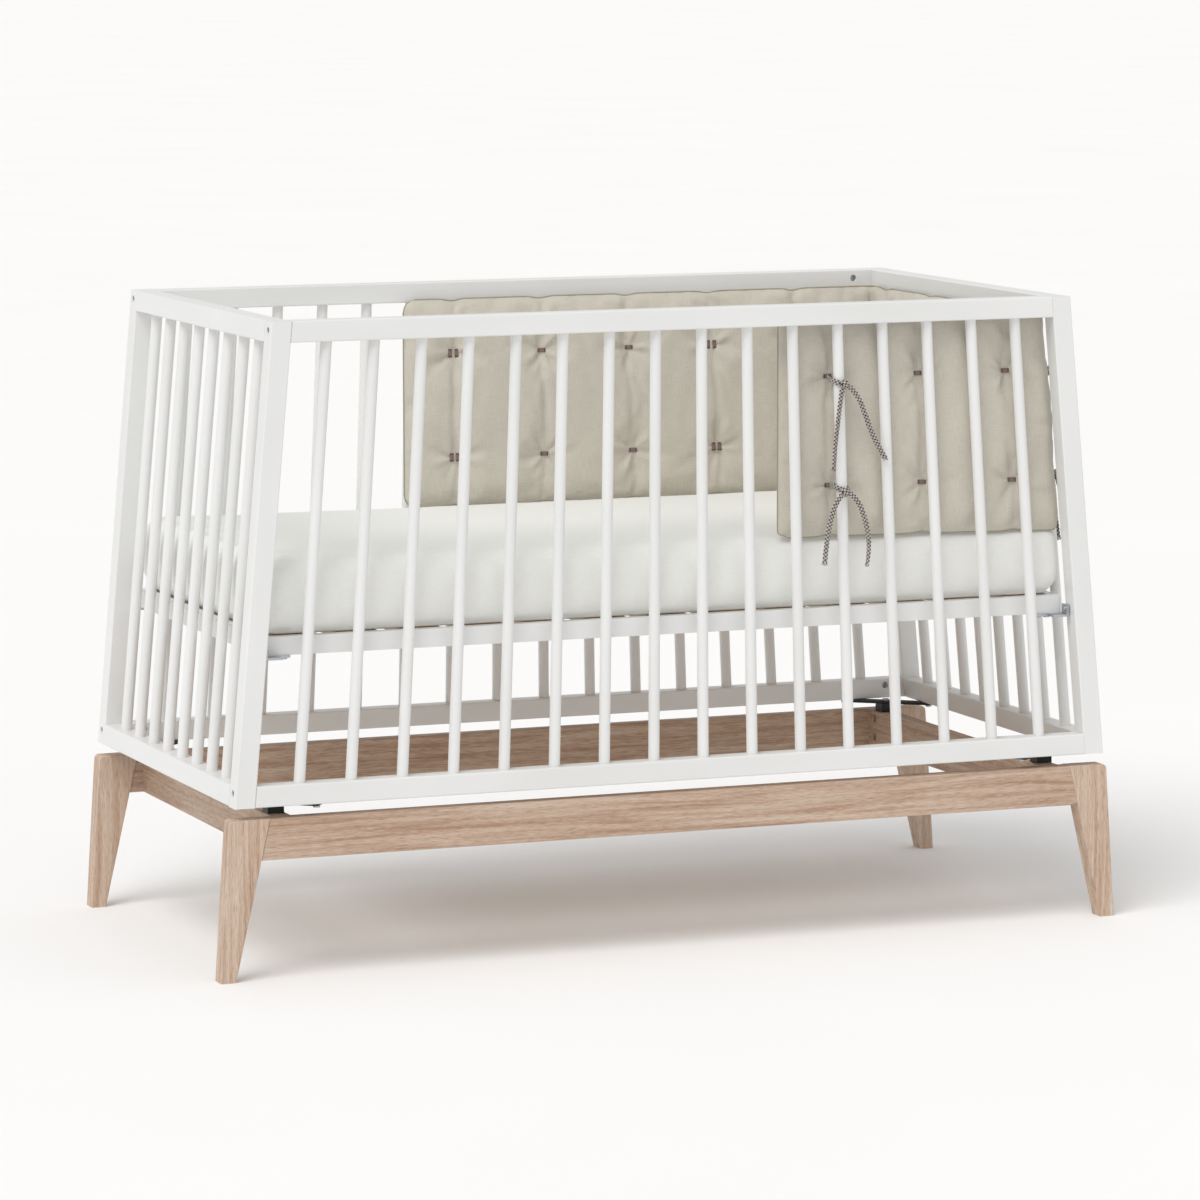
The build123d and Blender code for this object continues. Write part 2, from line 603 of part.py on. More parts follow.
# ---------------------------------------------------------------- bumper ties
# Each hanging end's route: (along the panel, out from the slat's axis, along the slat).
TIE_ENDS = {
    "long_near": [(1, 15, -5), (-6, 17, -30), (-11, 17.5, -62), (-15, 17, -93), (-15.5, 16, -120)],
    "long_far": [(11, 15, -2), (24, 18, -15), (36, 18.5, -43), (46, 18, -73), (60, 17, -98), (68, 16, -113)],
    "short_near": [(0, 15, -3), (-14, 17, -14), (-25, 18, -40), (-32, 18, -71), (-35, 16.5, -99)],
    "short_far": [(11, 15, 0), (22, 18, -12), (31, 18.5, -36), (36, 18, -63), (37, 17, -88), (33, 16, -106)],
    "straight_near": [(1, 15, -5), (-4, 17, -27), (-6, 17.5, -54), (-3, 16.5, -79)],
    "straight_far": [(11, 15, -3), (16, 18, -22), (18, 18.5, -48), (15, 17, -74), (10, 16, -95)],
}
# Each tie: the slat it holds, the height of its knot, the panel's side and its two ends.
TIES = {
    "front_upper": ("front", 11, TIE_UPPER, "long"),
    "front_lower": ("front", 11, TIE_LOWER, "short"),
    "rear_upper_left": ("rear", 6, TIE_UPPER, "short"),
    "rear_lower_left": ("rear", 6, TIE_LOWER, "long"),
    "rear_upper_right": ("rear", 12, TIE_UPPER, "long"),
    "rear_lower_right": ("rear", 12, TIE_LOWER, "short"),
    "end_upper": ("end", 0, TIE_UPPER, "short"),
    "end_lower": ("end", 0, TIE_LOWER, "straight"),
}
PANEL_WAYS = {"front": ((1, 0, 0), (0, -1, 0)), "rear": ((-1, 0, 0), (0, 1, 0)), "end": ((0, 1, 0), (1, 0, 0))}


def tie_frame(panel, index, height):
    """Origin on the slat's axis, with the ways along the panel, outwards and along the slat."""
    if panel == "end":
        low, high = end_slat_axis(index, 1)
    else:
        low, high = side_slat_axis(index, PANEL_Y if panel == "rear" else -PANEL_Y)
    up = (high - low).normalized()
    origin = low + up * ((height - low.Z) / up.Z)
    along, out = (Vector(*way) for way in PANEL_WAYS[panel])
    along, out = ((way - up * way.dot(up)).normalized() for way in (along, out))
    return origin, along, out, up


def tie_point(frame, place):
    origin, along, out, up = frame
    return origin + along * place[0] + out * place[1] + up * place[2]


def tie_knot(frame):
    """The ring round the slat and the knot in front of it."""
    origin, along, out, up = frame
    half = up * (TIE_WIDTH / 2)
    ring = rod(tuple(origin - half), tuple(origin + half), 2 * TIE_RING_OUTER)
    bore = rod(tuple(origin - up * TIE_WIDTH), tuple(origin + up * TIE_WIDTH), 2 * TIE_RING_INNER)
    knot = Pos(*tie_point(frame, (TIE_KNOT_ALONG, TIE_KNOT_OUT, 0))) * Sphere(TIE_KNOT_RADIUS)
    knot -= rod(tuple(origin - up * TIMBER), tuple(origin + up * TIMBER), 2 * TIE_RING_INNER)
    return (ring - bore + knot).solid()


def tie_end(name, frame, route):
    """A hanging end: straight runs joined by arcs as large as the runs allow."""
    points = [tie_point(frame, place) for place in route]
    runs = [b - a for a, b in zip(points, points[1:])]
    radii = []
    for before, after in zip(runs, runs[1:]):
        turn = math.radians(before.get_angle(after))
        radii.append(0.45 * min(before.length, after.length) / math.tan(turn / 2))
    path = FilletPolyline(*points, radius=radii)
    tube = sweep(Plane(origin=path @ 0, z_dir=path % 0) * Circle(TIE_WIDTH / 2), path=path).solid()
    ideal = math.pi * TIE_WIDTH ** 2 / 4 * path.length
    print(f"{name}: length {path.length:.1f}, volume {tube.volume / ideal:.4f} of section x length, "
          f"radii {[round(r) for r in radii]}")
    return tube


# ---------------------------------------------------------------- write the nodes
os.makedirs("parts", exist_ok=True)

for quarter, signs in QUARTERS.items():
    save(f"{quarter}_post", mirrored(post(), *signs))
    save(f"{quarter}_leg", mirrored(leg(), *signs))

for side, side_y in (("rear", 1), ("front", -1)):
    save(f"{side}_top_rail", side_rail(TOP_RAIL_UNDER, side_y, BOLT_HEIGHTS[1]))
    bottom = side_rail(BODY_BOTTOM, side_y, BOLT_HEIGHTS[0])
    pilots = [mirrored(bracket_pilot(0), side_x, side_y) for side_x in (1, -1)]
    save(f"{side}_bottom_rail", (bottom - pilots).solid())
    save(f"{side}_slats", *slats(side_slat_axis(i, side_y * PANEL_Y) for i in range(SIDE_SLATS)))
    save(f"{side}_apron", apron(side_y))

for side, side_x in (("right", 1), ("left", -1)):
    save(f"{side}_top_rail", end_rail(TOP_RAIL_UNDER, side_x, PIN_HEIGHTS[1]))
    bottom = end_rail(BODY_BOTTOM, side_x, PIN_HEIGHTS[0])
    pilots = [mirrored(bracket_pilot(1), side_x, side_y) for side_y in (1, -1)]
    save(f"{side}_bottom_rail", (bottom - pilots).solid())
    save(f"{side}_slats", *slats(end_slat_axis(i, side_x) for i in range(END_SLATS)))
    save(f"{side}_cross_member", cross_member(side_x))

save("frame_bolts", *in_quarters(*[frame_bolt(z) for z in BOLT_HEIGHTS]))
save("barrel_nuts", *in_quarters(*[barrel_nut(z) for z in BOLT_HEIGHTS]))
save("end_rail_pins", *in_quarters(*[glue_pin(z) for z in PIN_HEIGHTS]))
save("leg_dowels", *in_quarters(*[leg_dowel(z) for z in LEG_DOWEL_HEIGHTS]))
save("cam_locks", *in_quarters(*[cam_lock(z) for z in CAM_HEIGHTS]))
save("cam_pins", *in_quarters(*[cam_pin(z) for z in CAM_HEIGHTS]))
save("corner_brackets", *in_quarters(corner_bracket()))
save("bracket_screws", *in_quarters(*bracket_screws()))

save("base_long_rails", base_long_rail(), mirrored(base_long_rail(), 1, -1))
save("base_end_rails", base_end_rail(), mirrored(base_end_rail(), -1, 1))
save("base_slats", *[base_slat(i) for i in range(BASE_SLATS)])
save("base_screws", *in_quarters(base_screw()))
save("base_hooks", *in_quarters(hook()))
save("hook_bolts", *in_quarters(*hook_bolts()))

save("mattress", mattress())
save("fitted_sheet", fitted_sheet())
save("bumper_back", bumper_side(BUMPER_BACK_FROM, BUMPER_BACK_BOTTOM, 1))
save("bumper_front", bumper_side(BUMPER_FRONT_FROM, BUMPER_FRONT_BOTTOM, -1))
save("bumper_end", bumper_end())

knots = []
for tie, (panel, index, height, ends) in TIES.items():
    frame = tie_frame(panel, index, height)
    knots.append(tie_knot(frame))
    for which in ("near", "far"):
        name = f"tie_{tie}_{which}"
        save(name, tie_end(name, frame, TIE_ENDS[f"{ends}_{which}"]))
save("tie_knots", *knots)
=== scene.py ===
# %% [markdown]
# # A slatted cot, dressed
#
# The cot's frame is finished already: a white lacquered crate on a limed oak stand, with every rail, slat and
# bolt as its own solid. What is left is what a joiner doesn't make: the finish on the timber and steel, the
# fitted sheet, the quilted bumper and its braided ties. Everything is in metres. X runs along the cot, the
# front faces -Y, and Z is up.

import math

import bmesh
import bpy
from mathutils import Matrix, Vector, noise
from mathutils.bvhtree import BVHTree


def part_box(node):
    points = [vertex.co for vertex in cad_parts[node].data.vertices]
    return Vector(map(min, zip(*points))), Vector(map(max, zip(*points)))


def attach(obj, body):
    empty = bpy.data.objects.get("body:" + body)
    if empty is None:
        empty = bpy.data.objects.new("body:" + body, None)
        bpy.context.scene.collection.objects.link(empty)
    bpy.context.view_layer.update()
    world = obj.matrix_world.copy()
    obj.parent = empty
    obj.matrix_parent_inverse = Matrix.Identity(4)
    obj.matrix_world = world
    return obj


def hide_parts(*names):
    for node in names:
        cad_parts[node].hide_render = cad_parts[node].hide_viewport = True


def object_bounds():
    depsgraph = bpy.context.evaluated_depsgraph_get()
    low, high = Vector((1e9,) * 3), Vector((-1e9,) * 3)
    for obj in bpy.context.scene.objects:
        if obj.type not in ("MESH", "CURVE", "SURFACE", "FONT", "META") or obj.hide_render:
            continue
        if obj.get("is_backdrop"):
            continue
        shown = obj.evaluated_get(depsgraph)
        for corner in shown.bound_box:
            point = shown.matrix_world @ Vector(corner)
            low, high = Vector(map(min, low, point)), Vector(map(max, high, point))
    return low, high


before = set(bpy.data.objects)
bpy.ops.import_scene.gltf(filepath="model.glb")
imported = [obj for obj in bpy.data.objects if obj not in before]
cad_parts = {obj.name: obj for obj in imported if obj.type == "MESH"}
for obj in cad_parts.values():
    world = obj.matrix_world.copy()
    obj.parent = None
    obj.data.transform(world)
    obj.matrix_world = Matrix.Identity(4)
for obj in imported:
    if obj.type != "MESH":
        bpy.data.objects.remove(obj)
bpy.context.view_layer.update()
MM = 0.001

# %% [markdown]
# ## The camera
# A long lens from far off keeps upright posts upright and makes the near and far sides almost the same size,
# which is how furniture is shown in a catalogue. The camera stands to the left of the cot, a little above it,
# so one sees the front, the left end and the top of the mattress. It is built from three directions instead of
# being aimed at an empty, because the directions are then exact.

# %% Camera
CAMERA_PLACE = (-3.0140, -7.6201, 1.5184)
CAMERA_TURN = math.radians(21.616)     # round to the right of straight ahead
CAMERA_TILT = math.radians(7.322)      # down from level
CAMERA_ROLL = math.radians(-0.100)
CAMERA_LENS = 167.68                   # millimetres, on a sensor 36 mm wide

ahead = Vector((math.sin(CAMERA_TURN) * math.cos(CAMERA_TILT), math.cos(CAMERA_TURN) * math.cos(CAMERA_TILT),
                -math.sin(CAMERA_TILT)))
level = Vector((math.cos(CAMERA_TURN), -math.sin(CAMERA_TURN), 0))
above = level.cross(ahead)
camera_right = level * math.cos(CAMERA_ROLL) + above * math.sin(CAMERA_ROLL)
camera_up = above * math.cos(CAMERA_ROLL) - level * math.sin(CAMERA_ROLL)

camera = bpy.data.objects.new("camera", bpy.data.cameras.new("camera"))
camera.data.lens = CAMERA_LENS
camera.data.sensor_width = 36
camera.data.clip_end = 200
camera.matrix_world = Matrix.Translation(CAMERA_PLACE) @ Matrix(
    (camera_right, camera_up, -ahead)).transposed().to_4x4()
bpy.context.collection.objects.link(camera)
bpy.context.scene.camera = camera
print("camera", [round(c, 3) for c in camera.matrix_world.translation])

# %% [markdown]
# ## Adding a node
# Every finish below is a small network of nodes. One function adds a node, sets what differs from its defaults
# and links what feeds it, so a finish reads as a list of steps. Colours are written as a painter's hex values
# and turned to the linear values that Blender computes with.

# %% Helpers for finishes
def linear(hex_colour):
    """sRGB hex to linear RGBA."""
    parts = [int(hex_colour[i:i + 2], 16) / 255 for i in (0, 2, 4)]
    return [c / 12.92 if c <= 0.04045 else ((c + 0.055) / 1.055) ** 2.4 for c in parts] + [1.0]


def add(tree, kind, settings=None, links=None):
    """Add a node. A setting's key is an input's name or number, an attribute's name, or "stops" for a ramp."""
    made = tree.nodes.new("ShaderNode" + kind)
    for key, value in (settings or {}).items():
        if key == "stops":
            while len(made.color_ramp.elements) < len(value):
                made.color_ramp.elements.new(0.5)
            for stop, (place, hex_colour) in zip(made.color_ramp.elements, value):
                stop.position, stop.color = place, linear(hex_colour)
        elif isinstance(key, str) and key.islower():
            setattr(made, key, value)
        else:
            made.inputs[key].default_value = value
    for key, source in (links or {}).items():
        tree.links.new(source, made.inputs[key])
    return made


def finish(name, shader):
    """A material with a surface shader whose constant inputs are given; returns it, its tree and its shader."""
    material = bpy.data.materials.new(name)
    material.use_nodes = True
    material.node_tree.nodes.clear()
    tree = material.node_tree
    surface = add(tree, "BsdfPrincipled", shader)
    add(tree, "OutputMaterial", links={"Surface": surface.outputs["BSDF"]})
    return material, tree, surface


def streaks(tree, source, size, detail=2.0):
    """Noise whose patches have the given size in millimetres along each axis."""
    scale = [1 / (side * MM) for side in size]
    stretched = add(tree, "Mapping", {"Scale": scale}, {"Vector": source})
    return add(tree, "TexNoise", {"Scale": 1.0, "Detail": detail, "Roughness": 0.55},
               {"Vector": stretched.outputs["Vector"]}).outputs["Fac"]


GRAIN_WAYS = {"x": (1, 0, 0), "y": (0, 1, 0), "z": (0, 0, 1)}


def grain_size(way, length, width):
    """Patch size in millimetres: long along the grain, narrow across it."""
    return [length if on else width for on in GRAIN_WAYS[way]]


# %% [markdown]
# ## White lacquer
# The crate is beech, filled, sanded and sprayed with a satin waterborne lacquer. The eye gets a warm white with
# soft, wide highlights, a very fine orange peel, and a trace of the grain that the lacquer sinks into. The
# grain runs along each timber, so there is one finish for each direction.

# %% White lacquer
def white_lacquer(way):
    material, tree, surface = finish(f"white_satin_lacquer_{way}", {"Roughness": 0.36, "IOR": 1.5,
                                                                    "Coat Weight": 0.15, "Coat Roughness": 0.3})
    place = add(tree, "TexCoord").outputs["Object"]
    cloud = streaks(tree, place, grain_size(way, 320, 120))
    shade = add(tree, "ValToRGB", {"stops": [(0.3, "E0E0DE"), (0.7, "E7E7E6")]}, {"Fac": cloud})
    tree.links.new(shade.outputs["Color"], surface.inputs["Base Color"])
    worn = add(tree, "MapRange", {"To Min": 0.32, "To Max": 0.44},
               {"Value": streaks(tree, place, grain_size(way, 90, 40), 4)})
    tree.links.new(worn.outputs["Result"], surface.inputs["Roughness"])
    sunk_grain = streaks(tree, place, grain_size(way, 38, 1.3), 3)
    peel = streaks(tree, place, (2.2, 2.2, 2.2), 1)
    relief = add(tree, "Math", {"operation": "MULTIPLY_ADD", 1: 0.5}, {0: sunk_grain, 2: peel})
    bump = add(tree, "Bump", {"Strength": 0.1, "Distance": 0.00025}, {"Height": relief.outputs["Value"]})
    tree.links.new(bump.outputs["Normal"], surface.inputs["Normal"])
    return material


lacquer = {way: white_lacquer(way) for way in GRAIN_WAYS}
print(f"{len(lacquer)} lacquers")

# %% [markdown]
# ## Limed oak
# The stand is oak, brushed to open its pores, rubbed with a white paste and sealed matt. The eye gets a pale
# greyed brown with darker growth bands some 7 mm apart, and fine dashes along the grain that are brown where
# the pore is open and chalky where the paste stayed. The pores are really 0.3 mm wide, and are drawn about
# 1 mm wide so that they show.

# %% Limed oak
BEAM_TONES = [(0.30, "A38168"), (0.45, "B79A84"), (0.58, "C3AA95"), (0.75, "CEB9A7")]
LEG_TONES = [(0.30, "AF8E76"), (0.45, "C1A690"), (0.58, "CBB4A0"), (0.75, "D4C1B0")]   # paler than the beams
OAK_TONES = {"x": BEAM_TONES, "y": BEAM_TONES, "z": LEG_TONES}


def limed_oak(way):
    material, tree, surface = finish(f"limed_oak_{way}", {"Roughness": 0.55, "IOR": 1.5})
    place = add(tree, "TexCoord").outputs["Object"]
    bend = streaks(tree, place, grain_size(way, 420, 60), 1)
    bent = add(tree, "VectorMath", {"operation": "MULTIPLY_ADD", 1: (0.02, 0.02, 0.02)}, {0: bend, 2: place})
    bands = streaks(tree, bent.outputs["Vector"], grain_size(way, 260, 7), 3)
    wood = add(tree, "ValToRGB", {"stops": OAK_TONES[way]}, {"Fac": bands})
    pores = streaks(tree, place, grain_size(way, 16, 0.9), 2)
    open_pore = add(tree, "MapRange", {"From Min": 0.36, "From Max": 0.46, "To Min": 0.42, "To Max": 0.0},
                    {"Value": pores})
    paste = add(tree, "MapRange", {"From Min": 0.56, "From Max": 0.68, "To Min": 0.0, "To Max": 0.35},
                {"Value": pores})
    darker = add(tree, "Mix", {"data_type": "RGBA", 7: linear("82634D")},
                 {0: open_pore.outputs["Result"], 6: wood.outputs["Color"]})
    limed = add(tree, "Mix", {"data_type": "RGBA", 7: linear("E3D5C6")},
                {0: paste.outputs["Result"], 6: darker.outputs[2]})
    tree.links.new(limed.outputs[2], surface.inputs["Base Color"])
    matt = add(tree, "MapRange", {"To Min": 0.48, "To Max": 0.66}, {"Value": pores})
    tree.links.new(matt.outputs["Result"], surface.inputs["Roughness"])
    bump = add(tree, "Bump", {"Strength": 0.25, "Distance": 0.0003}, {"Height": pores})
    tree.links.new(bump.outputs["Normal"], surface.inputs["Normal"])
    return material


oak = {way: limed_oak(way) for way in GRAIN_WAYS}
print(f"{len(oak)} oaks")

# %% [markdown]
# ## Bare beech
# The slats under the mattress, the dowels and the pins are planed beech with no finish. The eye gets an even
# pinkish straw colour with short, fine, darker flecks, and hardly any gloss.

# %% Bare beech
def bare_beech(way):
    material, tree, surface = finish(f"planed_beech_{way}", {"Roughness": 0.62, "IOR": 1.48})
    place = add(tree, "TexCoord").outputs["Object"]
    tone = add(tree, "ValToRGB", {"stops": [(0.3, "D0AE8A"), (0.7, "E0C4A4")]},
               {"Fac": streaks(tree, place, grain_size(way, 300, 12), 3)})
    flecks = add(tree, "MapRange", {"From Min": 0.33, "From Max": 0.42, "To Min": 0.45, "To Max": 0.0},
                 {"Value": streaks(tree, place, grain_size(way, 5, 0.8), 1)})
    flecked = add(tree, "Mix", {"data_type": "RGBA", 7: linear("A67C58")},
                  {0: flecks.outputs["Result"], 6: tone.outputs["Color"]})
    tree.links.new(flecked.outputs[2], surface.inputs["Base Color"])
    bump = add(tree, "Bump", {"Strength": 0.15, "Distance": 0.0002}, {"Height": flecks.outputs["Result"]})
    tree.links.new(bump.outputs["Normal"], surface.inputs["Normal"])
    return material


beech = {way: bare_beech(way) for way in GRAIN_WAYS}

# %% [markdown]
# ## Steel
# The fittings are steel. Bolts, hooks and cams have a clear zinc plating, a cool grey with cloudy patches in
# its gloss. The corner brackets are black powder coating, which has a pebbled skin some 0.6 mm across and
# swallows nearly all light, so only its edges show.

# %% Zinc plating and black powder coat
def zinc_plating():
    material, tree, surface = finish("clear_zinc_plating", {"Metallic": 1.0, "Base Color": linear("B9BCC0")})
    place = add(tree, "TexCoord").outputs["Object"]
    cloudy = add(tree, "MapRange", {"To Min": 0.24, "To Max": 0.46},
                 {"Value": streaks(tree, place, (4, 4, 4), 3)})
    tree.links.new(cloudy.outputs["Result"], surface.inputs["Roughness"])
    bump = add(tree, "Bump", {"Strength": 0.08, "Distance": 0.0001},
               {"Height": streaks(tree, place, (0.7, 0.7, 0.7), 2)})
    tree.links.new(bump.outputs["Normal"], surface.inputs["Normal"])
    return material


def powder_coat():
    material, tree, surface = finish("black_powder_coat", {"Roughness": 0.5, "IOR": 1.5})
    place = add(tree, "TexCoord").outputs["Object"]
    pebbles = streaks(tree, place, (0.6, 0.6, 0.6), 2)
    tone = add(tree, "ValToRGB", {"stops": [(0.3, "111112"), (0.7, "1D1D1F")]}, {"Fac": pebbles})
    tree.links.new(tone.outputs["Color"], surface.inputs["Base Color"])
    bump = add(tree, "Bump", {"Strength": 0.3, "Distance": 0.0002}, {"Height": pebbles})
    tree.links.new(bump.outputs["Normal"], surface.inputs["Normal"])
    return material


zinc = zinc_plating()
black_steel = powder_coat()

# %% [markdown]
# ## Cloth
# Three cloths show. The bumper is a linen and cotton canvas, whose yarns are uneven, so it is crossed by faint
# light and dark streaks. The sheet is smooth cotton, with the same streaks far weaker. The mattress's ticking,
# seen only from below, has thin woven stripes. The yarns are 0.4 to 0.5 mm thick, and are drawn about 0.9 mm
# thick so that they show. Streaks follow the cloth's own flat coordinates, not the room's, so they turn round
# corners with it.

# %% Cloth finishes
def crossed_yarns(tree, place, length, width):
    """Uneven warp and weft as one height from 0 to 2."""
    warp = streaks(tree, place, (width, length, width), 2)
    weft = streaks(tree, place, (length, width, width), 2)
    return add(tree, "Math", {"operation": "ADD"}, {0: warp, 1: weft}).outputs["Value"]


def woven(name, dark, light, relief, sheen):
    material, tree, surface = finish(name, {"Roughness": 0.88, "IOR": 1.45, "Specular IOR Level": 0.3,
                                            "Sheen Weight": sheen, "Sheen Roughness": 0.5})
    place = add(tree, "TexCoord").outputs["UV"]
    yarns = crossed_yarns(tree, place, 18, 0.9)
    tone = add(tree, "ValToRGB", {"stops": [(0.36, dark), (0.64, light)]},
               {"Fac": add(tree, "Math", {"operation": "MULTIPLY", 1: 0.5}, {0: yarns}).outputs["Value"]})
    tree.links.new(tone.outputs["Color"], surface.inputs["Base Color"])
    bump = add(tree, "Bump", {"Strength": relief, "Distance": 0.0006}, {"Height": yarns})
    tree.links.new(bump.outputs["Normal"], surface.inputs["Normal"])
    return material, tree, surface, tone


linen, *_ = woven("slubbed_linen_canvas", "C1BBAE", "CFC9BD", 0.25, 0.1)
cotton, *_ = woven("smooth_cotton_sheeting", "E6E6E1", "EDEDE9", 0.12, 0.1)


def striped_ticking():
    """Cream twill with a grey-blue stripe 2 mm wide in every 14 mm."""
    material, tree, surface, tone = woven("striped_mattress_ticking", "E2DCCD", "EEE9DC", 0.3, 0.1)
    across = add(tree, "SeparateXYZ", links={"Vector": add(tree, "TexCoord").outputs["UV"]})
    repeat = add(tree, "Math", {"operation": "PINGPONG", 1: 7 * MM}, {0: across.outputs["Y"]})
    stripe = add(tree, "Math", {"operation": "LESS_THAN", 1: 1 * MM}, {0: repeat.outputs["Value"]})
    striped = add(tree, "Mix", {"data_type": "RGBA", 7: linear("8C9AA6")},
                  {0: stripe.outputs["Value"], 6: tone.outputs["Color"]})
    tree.links.new(striped.outputs[2], surface.inputs["Base Color"])
    return material


ticking = striped_ticking()

# %% [markdown]
# The ties and the small tabs are polyester and cotton. The tie is braided from brown and natural yarns, each
# a bundle of fibres, so a yarn has fine streaks and a soft, dull surface. The tabs are a brown twill tape with
# its ends stitched over in the dark brown yarn, whose dark colour also paints the shade where the ends sink in.

# %% Yarn and tape finishes
def yarn(name, dark, light):
    material, tree, surface = finish(name, {"Roughness": 0.85, "IOR": 1.45, "Sheen Weight": 0.2,
                                            "Sheen Roughness": 0.4})
    place = add(tree, "TexCoord").outputs["Object"]
    fibres = streaks(tree, place, (0.6, 0.6, 0.6), 3)
    tone = add(tree, "ValToRGB", {"stops": [(0.3, dark), (0.7, light)]}, {"Fac": fibres})
    tree.links.new(tone.outputs["Color"], surface.inputs["Base Color"])
    bump = add(tree, "Bump", {"Strength": 0.4, "Distance": 0.0003}, {"Height": fibres})
    tree.links.new(bump.outputs["Normal"], surface.inputs["Normal"])
    return material


brown_yarn = yarn("brown_braid_yarn", "2C2223", "453738")
natural_yarn = yarn("natural_braid_yarn", "C6BEB6", "DFD8D1")
tape = yarn("brown_twill_tape", "6E5A54", "8F7B74")
seam_thread = yarn("sewn_edge_thread", "96907F", "ABA593")

# %% [markdown]
# ## Finishes on the frame
# The frame's own solids keep their shape. Each only gets the finish of its material, with the grain along the
# timber: upright in posts, legs and slats, lengthwise in the long rails, crosswise at the ends.

# %% Give each solid its finish
UPRIGHT = ("post", "slats")
CROSSWISE = ("left_top_rail", "left_bottom_rail", "right_top_rail", "right_bottom_rail", "base_end_rails")


def finish_for(node):
    if node.endswith("_leg"):
        return oak["z"]
    if node.endswith("_apron"):
        return oak["x"]
    if node.endswith("_cross_member"):
        return oak["y"]
    if node in ("base_slats", "end_rail_pins"):
        return beech["y"]
    if node == "leg_dowels":
        return beech["x"]
    if node == "corner_brackets":
        return black_steel
    if node == "base_screws":           # filled over and painted with the base
        return lacquer["y"]
    if node.endswith(("bolts", "screws", "nuts", "hooks", "cam_locks", "cam_pins")):
        return zinc
    return lacquer["z" if node.endswith(UPRIGHT) else "y" if node in CROSSWISE else "x"]


for node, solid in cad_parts.items():
    for place in solid.material_slots:
        place.material = finish_for(node)
print("finished", len(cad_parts), "solids")

# %% [markdown]
# ## A line to braid along
# Each tie's free end is a flat braid 8 mm wide that hangs from its knot in a soft curve. The curve is a NURBS
# spline through the air near a few chosen points, which gives an even bend with no corners. Blender turns
# that spline into a run of points, and the braid is laid along them.

# %% Smooth lines
def smooth_line(points):
    """The points that a NURBS spline draws near given ones."""
    curve = bpy.data.curves.new("line", "CURVE")
    curve.dimensions = "3D"
    curve.resolution_u = 16
    spline = curve.splines.new("NURBS")
    spline.points.add(len(points) - 1)
    for point, place in zip(spline.points, points):
        point.co = (*place, 1)
    spline.order_u = 3
    spline.use_endpoint_u = True
    holder = bpy.data.objects.new("line", curve)
    drawn = bpy.data.meshes.new_from_object(holder)
    line = [v.co.copy() for v in drawn.vertices]
    bpy.data.objects.remove(holder)
    bpy.data.curves.remove(curve)
    bpy.data.meshes.remove(drawn)
    return line


def length_of(line):
    return sum((b - a).length for a, b in zip(line, line[1:]))


def evenly(line, step):
    """Points at equal steps along a line, each with the way the line runs there."""
    count = max(2, round(length_of(line) / step))
    step = length_of(line) / count
    made, done, index = [], 0.0, 0
    for k in range(count + 1):
        while index < len(line) - 2 and done + (line[index + 1] - line[index]).length < k * step - 1e-9:
            done += (line[index + 1] - line[index]).length
            index += 1
        run = line[index + 1] - line[index]
        made.append((line[index] + run * ((k * step - done) / run.length), run.normalized()))
    return made


# %% [markdown]
# ## The flat braid
# In a flat braid every yarn travels from edge to edge and back, and goes over and under the others in turn.
# Eight yarns, two brown and two natural by turns, make the small dark and light checks. A picture of a braid on a
# plain strip would look printed, so each yarn is its own thin tube. Across the tape a yarn follows a triangle
# wave, and its height flips at each crossing. Both depend only on how far round its zigzag the yarn is.

# %% Braid a tape along a line
TAPE_WIDTH = 8 * MM
YARNS = 8
YARN_RADIUS = 0.80 * MM
YARN_LIFT = 0.72 * MM
ZIGZAG = 11 * MM                        # length of tape in which a yarn crosses it and comes back
CROSSING = ZIGZAG / (2 * YARNS)


def yarn_place(index, run):
    """Across the tape from -1 to 1, and up or down from -1 to 1, of one yarn at a distance along the tape."""
    turn = (run / ZIGZAG + index / YARNS) % 1
    across = 1 - 4 * abs(turn - 0.5)
    heading = max(-1, min(1, 4 * math.sin(2 * math.pi * turn)))
    return across, math.cos(2 * math.pi * YARNS * turn) * heading


def add_yarn(curve, places, which, thin=1.0):
    spline = curve.splines.new("POLY")
    spline.points.add(len(places) - 1)
    for point, place in zip(spline.points, places):
        point.co = (*place, 1)
        point.radius = thin
    spline.material_index = which


def braid(curve, line, widths, frayed=False):
    """Lay eight yarns along a line. widths(share) gives the way across the tape at a share of its length."""
    stations = evenly(line, CROSSING / 2)
    total = length_of(line)
    for index in range(YARNS):
        places = []
        for k, (place, way) in enumerate(stations):
            share = k / (len(stations) - 1)
            side = widths(share)
            side = (side - way * side.dot(way)).normalized()
            across, lift = yarn_place(index, share * total)
            places.append(place + side * across * (TAPE_WIDTH / 2 - YARN_RADIUS)
                          + way.cross(side) * lift * YARN_LIFT)
        colour = index // 2 % 2
        add_yarn(curve, places, colour)
        if frayed:
            for hair in range(3):
                spread = (side * math.sin(7 * index + 2 * hair)
                          + way.cross(side) * math.cos(5 * index + 3 * hair))
                tip = places[-1] + way * (3.2 + 0.9 * hair) * MM + spread * 1.3 * MM
                middle = places[-1].lerp(tip, 0.5) + spread * 0.5 * MM
                add_yarn(curve, [places[-1], middle, tip], colour, 0.28)


